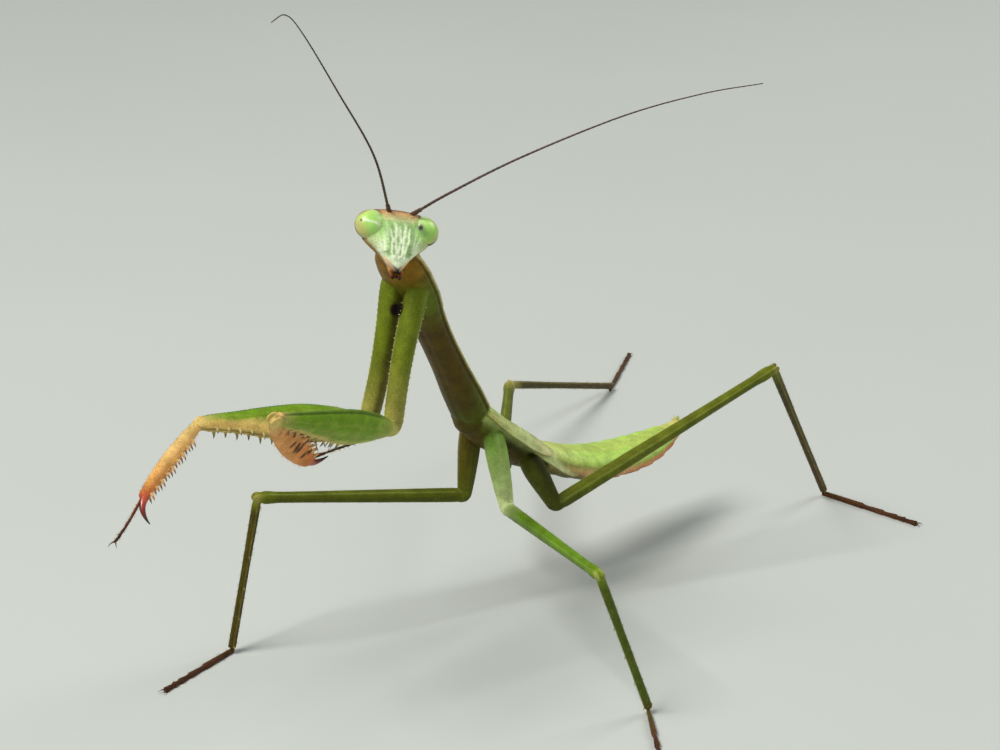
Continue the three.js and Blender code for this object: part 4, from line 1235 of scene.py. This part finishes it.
def blend_seams(mesh):
    """Evens out the tints and the shape where two parts meet."""
    edge_list = read(mesh.edges, "vertices", 2, np.int64)
    known = read(mesh.attributes[KNOWN_NAME].data, "value")[:, 0]
    tints = read(mesh.attributes[TINT_NAME].data, "color", 4)[:, :3].copy()
    tints = fill_unknown(tints, known, edge_list)
    (tint_reach, tint_rounds), (shape_reach, shape_rounds) = TINT_SEAM, SHAPE_SEAM
    tints = spread(tints, edge_list, near_seams(known, edge_list, tint_reach), tint_rounds, SEAM_SHARE)
    seams = near_seams(known, edge_list, shape_reach)
    points = spread(read(mesh.vertices, "co", 3), edge_list, seams, shape_rounds, SEAM_SHARE)
    mesh.vertices.foreach_set("co", points.ravel())
    colours = np.column_stack([tints, np.ones(len(tints))])
    mesh.attributes[TINT_NAME].data.foreach_set("color", colours.ravel())
    mesh.attributes.remove(mesh.attributes[KNOWN_NAME])
    mesh.update()


EYES_AND_HARD_PARTS = ("eye_", "antenna_", "fore_claw_")
FLESH_NODES = [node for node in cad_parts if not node.startswith(EYES_AND_HARD_PARTS)]
skin_mesh_whole = join_skin(SKIN)
blend_seams(skin_mesh_whole)
skin = link(bpy.data.objects.new("skin", skin_mesh_whole))


# ---------------------------------------------------------------- small rods: spines, hairs, feelers
PATCH = 0.003
FINE_SIDES = 6
SPINE_PLACES = np.linspace(0, 1, 6)
SPINE_SIDES = 7
SPINE_TAPER, SPINE_CURVE = 0.93, 1.3


class Bundle:
    """A mesh piece put together from many small closed rods."""

    def __init__(self):
        self.points, self.faces, self.tints, self.uvs = [], [], [], []
        self.count = 0

    def rings(self, points, tints):
        """A closed surface through rings of points."""
        rings, sides = points.shape[:2]
        self.points.append(points.reshape(-1, 3))
        self.tints.append(tints.reshape(-1, 3))
        self.faces.extend(closed_faces(rings, sides, self.count))
        self.count += rings * sides

    def rod(self, centres, radii, tints, sides, place=None):
        """A round rod along centres. place is its root on the skin's unwrap, for a hair."""
        centres = np.asarray(centres, float)
        tangents = np.gradient(centres, axis=0)
        tangents /= np.linalg.norm(tangents, axis=1)[:, None]
        hint = np.eye(3)[np.argmin(np.abs(tangents.mean(axis=0)))]
        side = np.cross(tangents, hint)
        side /= np.linalg.norm(side, axis=1)[:, None]
        other = np.cross(tangents, side)
        angle = np.arange(sides) / sides * 2 * math.pi
        ring = side[:, None] * np.cos(angle)[:, None] + other[:, None] * np.sin(angle)[:, None]
        rings = len(centres)
        self.rings(centres[:, None] + ring * np.asarray(radii)[:, None, None],
                   np.repeat(np.broadcast_to(tints, (rings, 3)), sides, axis=0))
        if place is not None:
            corners = 4 * (rings - 1) * sides + 2 * sides
            self.uvs.append(np.asarray(place) + PATCH * (np.indices((corners, 2))[0] % 2 - 0.5))

    def spine(self, root, tip, radius, bend, root_tint, tip_tint, sides=SPINE_SIDES):
        """A bent cone that darkens towards its point."""
        t = SPINE_PLACES
        centres = root + np.outer(t, tip - root) + np.outer(4 * t * (1 - t), bend)
        radii = radius * (1 - SPINE_TAPER * t**SPINE_CURVE)
        self.rod(centres, radii, mix(root_tint, tip_tint, smooth(t, 0.35, 0.85)), sides)

    def piece(self, name, slot, material, *nodes):
        """Makes the piece, lets it ride on the one body, and hides the CAD nodes that it stands for."""
        mesh = bpy.data.meshes.new(name)
        mesh.from_pydata(to_frame(np.vstack(self.points)).tolist(), [], self.faces)
        set_tints(mesh, np.vstack(self.tints))
        if self.uvs:
            mesh.uv_layers.new(name=COAT_UV).data.foreach_set("uv", np.vstack(self.uvs).ravel())
        return settle(link(bpy.data.objects.new(name, mesh)), slot, material, *nodes)


def settle(piece, slot, material, *nodes):
    """Shades a piece smoothly, gives it its material, and lets it ride on the one body."""
    piece.data.shade_smooth()
    piece.data.set_sharp_from_angle(angle=SHARP_ANGLE)
    piece.data.materials.clear()
    piece.data.materials.append(material)
    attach(piece, "root")
    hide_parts(*nodes)
    return piece


# ---------------------------------------------------------------- materials
def node_of(tree, kind, **inputs):
    """A new node with some of its sockets set, by name with _ for a space."""
    node = tree.nodes.new(kind)
    for name, value in inputs.items():
        node.inputs[name.replace("_", " ")].default_value = value
    return node


def noise_at(tree, place, size_mm, detail=3.0):
    texture = node_of(tree, "ShaderNodeTexNoise", Scale=1 / (size_mm * MM), Detail=detail)
    tree.links.new(place, texture.inputs["Vector"])
    return texture.outputs["Fac"]


def map_range(tree, value, low, high, new_low, new_high):
    node = node_of(tree, "ShaderNodeMapRange", From_Min=low, From_Max=high, To_Min=new_low, To_Max=new_high)
    tree.links.new(value, node.inputs["Value"])
    return node.outputs["Result"]


def grade(tree, colour, amount):
    """A colour times a grey amount."""
    node = tree.nodes.new("ShaderNodeVectorMath")
    node.operation = "SCALE"
    tree.links.new(colour, node.inputs[0])
    tree.links.new(amount, node.inputs["Scale"])
    return node.outputs[0]


def cuticle(name, grain_mm, grain_height_mm, roughness, mottle=0.16, **shader):
    """A tinted surface with mottling, pores and fine grains, such as an insect's skin."""
    material = bpy.data.materials.new(name)
    material.use_nodes = True
    tree = material.node_tree
    surface = tree.nodes["Principled BSDF"]
    for socket, value in shader.items():
        surface.inputs[socket.replace("_", " ")].default_value = value
    place = tree.nodes.new("ShaderNodeTexCoord").outputs["Object"]
    tint = tree.nodes.new("ShaderNodeAttribute")
    tint.attribute_name = TINT_NAME
    clouds = map_range(tree, noise_at(tree, place, 0.9), 0.3, 0.7, 1 - mottle, 1 + mottle)
    specks = map_range(tree, noise_at(tree, place, 0.12, 2.0), 0.35, 0.65, 1 - 0.7 * mottle, 1 + 0.7 * mottle)
    colour = grade(tree, grade(tree, tint.outputs["Color"], clouds), specks)
    tree.links.new(colour, surface.inputs["Base Color"])
    polish = map_range(tree, noise_at(tree, place, 0.3), 0.3, 0.7, roughness - 0.07, roughness + 0.09)
    tree.links.new(polish, surface.inputs["Roughness"])
    grains = node_of(tree, "ShaderNodeTexVoronoi", Scale=1 / (grain_mm * MM))
    grains.feature = "SMOOTH_F1"
    tree.links.new(place, grains.inputs["Vector"])
    relief = node_of(tree, "ShaderNodeBump", Strength=0.6, Distance=grain_height_mm * MM)
    relief.invert = True
    tree.links.new(grains.outputs["Distance"], relief.inputs["Height"])
    tree.links.new(relief.outputs["Normal"], surface.inputs["Normal"])
    return material


SKIN_MATERIAL = cuticle("skin_green", 0.09, 0.014, 0.46, mottle=0.2, Subsurface_Weight=0.06,
                        Subsurface_Scale=0.0003, Subsurface_Radius=(1.0, 0.9, 0.3), Specular_IOR_Level=0.12)
EYE_MATERIAL = cuticle("eye", 0.035, 0.004, 0.36, mottle=0.06, Coat_Weight=0.22, Coat_Roughness=0.22,
                       Subsurface_Weight=0.1, Subsurface_Scale=0.0003)
FEELER_MATERIAL = cuticle("feeler", 0.05, 0.004, 0.5, mottle=0.2)
CLAW_MATERIAL = cuticle("claw", 0.06, 0.004, 0.32, mottle=0.12, Coat_Weight=0.3, Coat_Roughness=0.2)
HAIR_MATERIAL = cuticle("hair", 0.02, 0.001, 0.5, mottle=0.1)

settle(skin, "skin_green", SKIN_MATERIAL, *FLESH_NODES)


# ---------------------------------------------------------------- eyes
EYE_RINGS, EYE_SIDES = 72, 96
EYE_POLE = 0.02
# Each eye's dark spot, by side: outward, forward and upward on the eye, and its size. The shades are softer.
DARK_SPOTS = {1: ((-0.42, 0.86, -0.28), 0.19), -1: ((0.62, 0.6, 0.5), 0.08)}
SHADES = {1: ((-0.05, 0.9, -0.42), 0.38)}
# How far forward the dark back of each eye reaches.
RIM_LEVELS = {1: 0.44, -1: 0.02}
# The eye on this side gets a painted highlight.
HIGHLIGHTED_SIDE = -1


def near_spot(unit_points, spot, size):
    return bump(np.linalg.norm(unit_points - unit(np.array(spot)), axis=-1), 0, size)


def eye_tint(wide, forward, long, side):
    """wide runs outward and long upward along the eye, all from -1 to 1 on its surface."""
    places = np.stack([wide, forward, long], axis=-1)
    tint = mix(EYE_GREEN, EYE_YELLOW, 0.6 * smooth(long, 0.0, 0.9))
    tint = overlay(tint, (mix(FACE, EYE_YELLOW, 0.4), 0.85 * smooth(-wide - 0.5 * long, -0.2, 0.55)),
                   (mix(CREAM, EYE_YELLOW, 0.5), 0.4 * smooth(-long, 0.4, 0.9)))
    # A pale streak painted across the eye as a highlight.
    if side == HIGHLIGHTED_SIDE:
        painted_highlight = (bump(0.69 * (long - 1.05 * wide), -0.08, 0.085) * smooth(wide, -0.4, -0.1)
                  * fade(wide, 0.4, 0.55))
        tint = mix(tint, FACE_WHITE, 0.85 * painted_highlight * (forward > 0))
    stripes = 0.5 + 0.5 * np.sin(wide * 21 + forward * 5)
    tint = overlay(tint, (mix(SKIN_PINK, EYE_YELLOW, 0.3), 0.85 * smooth(wide, 0.35, 0.95)),
                   (mix(SKIN_PINK, BROWN, 0.2), 0.8 * smooth(long, 0.72, 0.95)),
                   (mix(EYE_GREEN, LEAF_DARK, 0.3), 0.12 * stripes))
    if side in SHADES:
        tint = mix(tint, mix(EYE_DARK, EYE_GREEN, 0.35), 0.9 * near_spot(places, *SHADES[side]))
    back = smooth(RIM_LEVELS[side] - forward, 0.0, 0.12)
    top = smooth(long, 0.93, 0.985) * (forward < 0.45)
    return overlay(tint, (NIGHT, np.clip(1.5 * near_spot(places, *DARK_SPOTS[side]), 0, 1)),
                   (DARK_BROWN, 0.9 * np.maximum(back, top)))


def build_eye(side_name):
    side = SIDES[side_name]
    polar = np.linspace(EYE_POLE, math.pi - EYE_POLE, EYE_RINGS)[:, None]
    around = np.arange(EYE_SIDES)[None, :] / EYE_SIDES * 2 * math.pi
    wide, forward = np.sin(polar) * np.cos(around), np.sin(polar) * np.sin(around)
    long = -np.cos(polar) + 0 * around
    points = eye_centre(side)
    for share, axis, radius in zip((wide, forward, long), eye_axes(side), EYE_RADII):
        points = points + share[..., None] * axis * radius
    eye = Bundle()
    eye.rings(points, eye_tint(wide * side, forward, long, side))
    eye.piece(f"compound_eye_{side_name}", "eye", EYE_MATERIAL, f"eye_{side_name}")


for side_name in SIDES:
    build_eye(side_name)


# ---------------------------------------------------------------- feelers
# Left, forward and up from the head's centre.
FEELER_POINTS = {
    "l": [(0.84, 0.6, 0.98), (2.5, 3.3, 2.0), (6.0, 6.9, 3.9), (11.1, 11.3, 6.1), (15.4, 14.1, 7.4),
          (19.0, 15.6, 8.2)],
    "r": [(-0.72, 0.6, 0.98), (-3.8, 5.7, 2.9), (-8.3, 11.4, 4.5), (-12.2, 16.1, 5.9), (-13.8, 17.7, 6.2),
          (-14.8, 18.2, 5.4)],
}
FEELER_RINGS, FEELER_SIDES = 420, 8
FEELER_JOINTS = 70
FEELER_ROOT, FEELER_TIP = 0.105, 0.035
FEELER_TAPER = 0.8
JOINT_WAIST = 0.16


def build_feeler(side_name):
    centres = catmull([head_point(*point) for point in FEELER_POINTS[side_name]], FEELER_RINGS)
    t = np.linspace(0, 1, FEELER_RINGS)
    joint = (t * FEELER_JOINTS) % 1.0
    radii = FEELER_ROOT + (FEELER_TIP - FEELER_ROOT) * t**FEELER_TAPER
    radii = radii * (1 - JOINT_WAIST * np.maximum(bump(joint, 0, 0.15), bump(joint, 1, 0.15)))
    radii = radii + 0.06 * fade(t, 0.03, 0.036) - 0.03 * bump(t, 0.024, 0.003)
    tints = ramp(t, (0, BROWN), (0.03, DARK_BROWN), (0.3, mix(BROWN, NIGHT, 0.45)),
                 (0.7, mix(BROWN, NIGHT, 0.5)),
                 (1, DARK_BROWN))
    feeler = Bundle()
    feeler.rod(centres, radii, tints, FEELER_SIDES)
    feeler.piece(f"feeler_{side_name}", "feeler", FEELER_MATERIAL, f"antenna_{side_name}_base",
                 f"antenna_{side_name}_tip")


for side_name in SIDES:
    build_feeler(side_name)


# ---------------------------------------------------------------- spines and claws
SPINE_ROWS = {
    "femur": {"first": 0.4, "last": 0.92, "across": 0.28, "length": 0.4, "radius": 0.13, "lean": 0.2,
              "tints": (mix(STRAW, BROWN, 0.3), NIGHT)},
    "tibia": {"first": 0.22, "last": 0.94, "across": 0.2, "length": 0.42, "radius": 0.13, "lean": 0.6,
              "tints": (mix(TAN, ORANGE, 0.5), mix(RUST, NIGHT, 0.7))},
}
SPINES_PER_FACE = 9
SPINE_ROOT_DEPTH = 0.8
SHORT_SPINE = 0.72
SPINE_SPREAD = 1.25
SPINE_BEND = 0.05
# The four spines down the middle of the femur: where each is along it, and its length.
MIDDLE_SPINES = ((0.3, 0.5), (0.35, 0.75), (0.4, 0.6), (0.45, 0.45))
MIDDLE_SPINE_RADIUS = 0.11
# The claw's curve, in mm past the ankle and towards the underside.
CLAW_CURVE = ((-0.3, 0.1), (0.95, 0.12), (1.25, 1.4))
CLAW_RINGS, CLAW_SIDES = 28, 14
CLAW_RADIUS, CLAW_TIP_RADIUS, CLAW_TAPER = 0.25, 0.03, 1.6
# The claws of each foot and the spurs of each walking tibia: how far each reaches and how thick it is, in mm.
FOOT_CLAW = {"ahead": 0.42, "out": 0.3, "down": 0.1, "apart": 0.05, "radius": 0.06, "arch": 0.09}
SPUR = {"ahead": 0.42, "out": 0.22, "back": 0.1, "apart": 0.2, "radius": 0.05, "bend": 0.02}
SPUR_FROM_ANKLE = 0.25
SPUR_PLACES = (0.0, 2.4, 4.9, 7.5)


def spine_row(bundle, leg, limb, face):
    """One row of spines along the underside of a fore limb, long and short in turn."""
    line, rows = limb_line(leg, limb)
    row, axis = SPINE_ROWS[limb], leg["axes"][limb]
    places = np.linspace(row["first"], row["last"], SPINES_PER_FACE)
    belows = smooth_rows(rows, places)[:, 2]
    for i, (centre, left, up, below) in enumerate(zip(*line(places), belows)):
        length = row["length"] * (SHORT_SPINE if i % 2 else 1.0)
        across = left * row["across"] * face
        root = centre - up * SPINE_ROOT_DEPTH * below + across
        tip = centre - up * (below + length) + across * SPINE_SPREAD + axis * row["lean"] * length
        bundle.spine(root, tip, row["radius"], -axis * SPINE_BEND, *row["tints"])


def build_fore_spines(side_name):
    leg, spines = fore_legs[side_name], Bundle()
    for limb in SPINE_ROWS:
        for face in (1, -1):
            spine_row(spines, leg, limb, face)
    line, rows = limb_line(leg, "femur")
    for place, length in MIDDLE_SPINES:
        (centre,), _, (up,) = line(np.array([place]))
        below = smooth_rows(rows, np.array([place]))[0, 2]
        spines.spine(centre - up * SPINE_ROOT_DEPTH * below, centre - up * (below + length),
                     MIDDLE_SPINE_RADIUS,
                     leg["axes"]["femur"] * SPINE_BEND, mix(STRAW, ORANGE, 0.4), NIGHT)
    spines.piece(f"spines_{side_name}", "claw", CLAW_MATERIAL)


def build_fore_claw(side_name):
    leg = fore_legs[side_name]
    axis, ventral = leg["axes"]["tibia"], -leg["dorsal"]["tibia"]
    first, middle, last = (leg["ankle"] + axis * ahead + ventral * under for ahead, under in CLAW_CURVE)
    t = np.linspace(0, 1, CLAW_RINGS)
    w = t[:, None]
    centres = (1 - w) ** 2 * first + 2 * w * (1 - w) * middle + w**2 * last
    tints = ramp(t, (0, RUST), (0.3, mix(CRIMSON, RUST, 0.4)), (0.6, mix(CRIMSON, NIGHT, 0.6)), (0.85, NIGHT),
                 (1, NIGHT))
    claw = Bundle()
    claw.rod(centres, CLAW_RADIUS * (1 - t**CLAW_TAPER) + CLAW_TIP_RADIUS, tints, CLAW_SIDES)
    claw.piece(f"tibial_claw_{side_name}", "claw", CLAW_MATERIAL, f"fore_claw_{side_name}")


def build_foot_claws():
    claws, claw = Bundle(), FOOT_CLAW
    for leg in (*fore_legs.values(), *walking_legs.values()):
        tip, axis = leg["tarsus_tip"], leg["axes"]["tarsus"]
        left = unit(np.cross((0, 0, 1), axis))
        for face in (1, -1):
            end = tip + axis * claw["ahead"] + left * claw["out"] * face - np.array([0, 0, claw["down"]])
            claws.spine(tip + left * claw["apart"] * face, end, claw["radius"],
                        np.array([0, 0, claw["arch"]]), BROWN,
                        NIGHT, FINE_SIDES)
    claws.piece("foot_claws", "claw", CLAW_MATERIAL)


def build_tibia_spurs():
    """Two short spurs at the far end of each walking tibia, and a sparse row of small ones before them."""
    spurs = Bundle()
    for leg in walking_legs.values():
        axis = leg["axes"]["tibia"]
        side = unit(np.cross(axis, leg["axes"]["femur"]))
        back = np.cross(axis, side)
        for away in SPUR_PLACES:
            for face in (1, -1):
                root = leg["ankle"] - axis * (SPUR_FROM_ANKLE + away) + side * SPUR["apart"] * face
                tip = root + axis * SPUR["ahead"] + side * SPUR["out"] * face + back * SPUR["back"]
                spurs.spine(root, tip, SPUR["radius"], side * SPUR["bend"] * face, mix(OLIVE, STRAW, 0.4),
                            BROWN,
                            FINE_SIDES)
    spurs.piece("leg_spurs", "claw", CLAW_MATERIAL)


for side_name in SIDES:
    build_fore_spines(side_name)
    build_fore_claw(side_name)
build_foot_claws()
build_tibia_spurs()


# ---------------------------------------------------------------- denticles, ocelli and hairs
COXA_TEETH = {"places": np.linspace(0.1, 0.93, 30), "lengths": (0.15, 0.09, 0.09), "radius": 0.05}
SHIELD_TEETH = {"places": np.linspace(0.7, 0.985, 34), "lengths": (0.17,), "radius": 0.06}
# Left, forward and up from the head's centre, and radius.
OCELLI = ((0, 0.66, 0.98, 0.11), (0.27, 0.5, 1.12, 0.1), (-0.27, 0.5, 1.12, 0.1))
OCELLUS_RINGS, OCELLUS_SIDES, OCELLUS_END = 9, 14, 0.97
# Hairs on each kind of part: how many, how long in mm, and how far they lean along the part.
HAIRS = {
    "tibia": (260, 0.2, 0.9), "femur": (150, 0.13, 0.9), "tarsus": (110, 0.18, 0.8), "coxa": (60, 0.12, 0.6),
    "abdomen": (320, 0.11, 1.0), "cercus": (60, 0.32, 0.4), "prothorax": (160, 0.08, 0.8),
    "thorax": (90, 0.1, 0.8),
}
HAIR_RADIUS, HAIR_SIDES = 0.011, 3
HAIR_LENGTHS, HAIR_LEANS = (0.6, 1.3), (0.7, 1.3)
HAIR_PLACES = np.array([-0.15, 0.5, 1.0])
HAIR_WIDTHS = np.array([1.0, 0.7, 0.15])
HAIR_BEND = 0.25


def tooth(bundle, line, rows, t, degrees, length, radius, tints):
    """A small cone standing on a limb's surface at one place along and round it."""
    (centre,), (left,), (up,) = line(np.array([t]))
    wide, above, below = smooth_rows(rows, np.array([t]))[0]
    cosine, sine = math.cos(math.radians(degrees)), math.sin(math.radians(degrees))
    reach = above if sine > 0 else below
    out = unit(left * cosine * reach + up * sine * wide)
    place = centre + left * cosine * wide + up * sine * reach
    bundle.spine(place - out * radius * 0.5, place + out * length, radius, np.zeros(3), *tints, FINE_SIDES)


def build_denticles():
    """The pale teeth along the fore coxae's edges, and the fine ones along the margin of the shield."""
    teeth = Bundle()
    edged = [(*limb_line(leg, "coxa"), COXA_EDGES[side_name], COXA_TEETH, (LEAF_PALE, STRAW))
             for side_name, leg in fore_legs.items()]
    edged.append((prothorax_line, prothorax_rows, MARGIN_ANGLES, SHIELD_TEETH,
                  (STRAW, mix(STRAW, BARK, 0.5))))
    for line, rows, angles, row, tints in edged:
        for angle in angles:
            for i, t in enumerate(row["places"]):
                length = row["lengths"][i % len(row["lengths"])]
                tooth(teeth, line, rows, t, angle, length, row["radius"], tints)
    teeth.piece("denticles", "claw", CLAW_MATERIAL)


def build_ocelli():
    """The three simple eyes between the feelers."""
    beads = Bundle()
    t = np.linspace(-OCELLUS_END, OCELLUS_END, OCELLUS_RINGS)
    for left, forward, up, radius in OCELLI:
        centres = head_point(left, forward, up) + np.outer(t, unit(head_axis * 0.7 + head_up)) * radius
        beads.rod(centres, radius * np.sqrt(1 - t**2), mix(SKIN_PINK, AMBER, 0.6), OCELLUS_SIDES)
    beads.piece("ocelli", "eye", EYE_MATERIAL)


def hair_kind(name):
    return next((kind for kind in HAIRS if kind in name), None)


def comb_hairs(bundle, part):
    """Sparse short hairs over one part, each rooted at a point of its surface."""
    count, length, lean = HAIRS[hair_kind(part["name"])]
    points = part["points"]
    rings, sides = points.shape[:2]
    first_u, first_v, wide, high = part["uv"]
    tints = np.broadcast_to(part["tint"], (rings, sides, 3))
    for _ in range(count):
        j = RANDOM.integers(CAP_RINGS + 2, rings - CAP_RINGS - 2)
        i = RANDOM.integers(0, sides)
        own = length * RANDOM.uniform(*HAIR_LENGTHS)
        along = unit(points[j + 1, i] - points[j - 1, i])
        out = unit(np.cross(points[j, (i + 1) % sides] - points[j, i - 1], along))
        way = unit(out + along * lean * RANDOM.uniform(*HAIR_LEANS))
        bend = HAIR_BEND * own * np.maximum(HAIR_PLACES, 0) ** 2
        centres = points[j, i] + np.outer(HAIR_PLACES * own, way) + np.outer(bend, along)
        if centres[:, 2].min() >= HAIR_RADIUS:
            place = (first_u + wide * i / sides, first_v + high * j / (rings - 1))
            bundle.rod(centres, HAIR_RADIUS * HAIR_WIDTHS, mix(tints[j, i], STRAW, 0.25), HAIR_SIDES, place)


def build_hairs():
    hairs = Bundle()
    for part in SKIN:
        if hair_kind(part["name"]):
            comb_hairs(hairs, part)
    hairs.piece("hairs", "skin_green", HAIR_MATERIAL)


build_denticles()
build_ocelli()
build_hairs()


# ---------------------------------------------------------------- floor, lights and camera
FLOOR_HALF_SIZE = 3.0
FLOOR_COLOUR = (0.5, 0.53, 0.5, 1)
FLOOR_ROUGHNESS = 0.9
FLOOR_CLOUDS_MM = 60.0
# Each light's place, size, power and colour.
LIGHTS = {
    "key": ((-0.06, -0.28, 0.46), 0.2, 2.7, (1.0, 0.98, 0.94)),
    "fill": ((0.4, -0.25, 0.2), 0.3, 0.3, (0.94, 0.97, 1.0)),
    "rim": ((0.1, 0.4, 0.3), 0.2, 0.8, (1.0, 1.0, 1.0)),
}
LIT_PLACE = (0, 0, 0.015)
SKY_COLOUR, SKY_STRENGTH = (0.86, 0.88, 0.87, 1), 0.32
CAMERA_WAY = (44.6, 22.8)
CAMERA_PLACE = (106.0, -104.5, 82.4)
CAMERA_LENS = 79.4
CAMERA_CLIP = (0.005, 20)


def build_floor():
    material = bpy.data.materials.new("floor")
    material.use_nodes = True
    tree = material.node_tree
    surface = tree.nodes["Principled BSDF"]
    surface.inputs["Roughness"].default_value = FLOOR_ROUGHNESS
    place = tree.nodes.new("ShaderNodeTexCoord").outputs["Object"]
    shade = map_range(tree, noise_at(tree, place, FLOOR_CLOUDS_MM), 0.3, 0.7, 0.97, 1.0)
    ground = tree.nodes.new("ShaderNodeRGB")
    ground.outputs[0].default_value = FLOOR_COLOUR
    tree.links.new(grade(tree, ground.outputs[0], shade), surface.inputs["Base Color"])
    mesh = bpy.data.meshes.new("floor")
    corners = [(x * FLOOR_HALF_SIZE, y * FLOOR_HALF_SIZE, 0) for x, y in ((-1, -1), (1, -1), (1, 1), (-1, 1))]
    mesh.from_pydata(corners, [], [(0, 1, 2, 3)])
    mesh.materials.append(material)
    link(bpy.data.objects.new("floor", mesh))


def add_light(name, place, size, power, colour):
    light = bpy.data.lights.new(name, "AREA")
    light.size, light.energy, light.color = size, power, colour
    obj = link(bpy.data.objects.new(name, light))
    obj.location = place
    obj.rotation_euler = (Vector(LIT_PLACE) - obj.location).to_track_quat("-Z", "Y").to_euler()


def build_camera():
    azimuth = math.radians(CAMERA_WAY[0])
    right = Vector((math.cos(azimuth), math.sin(azimuth), 0))
    back = Vector(direction(CAMERA_WAY))
    data = bpy.data.cameras.new("camera")
    data.lens, data.clip_start, data.clip_end = CAMERA_LENS, *CAMERA_CLIP
    camera = link(bpy.data.objects.new("camera", data))
    turn = Matrix((right, back.cross(right), back)).transposed().to_4x4()
    camera.matrix_world = Matrix.Translation(Vector(to_frame(np.array(CAMERA_PLACE)))) @ turn
    bpy.context.scene.camera = camera


def build_world():
    world = bpy.data.worlds.new("world")
    world.use_nodes = True
    sky = world.node_tree.nodes["Background"]
    sky.inputs["Color"].default_value = SKY_COLOUR
    sky.inputs["Strength"].default_value = SKY_STRENGTH
    bpy.context.scene.world = world


build_floor()
for name, light in LIGHTS.items():
    add_light(name, *light)
build_camera()
build_world()
bpy.context.scene.view_settings.view_transform = "Standard"
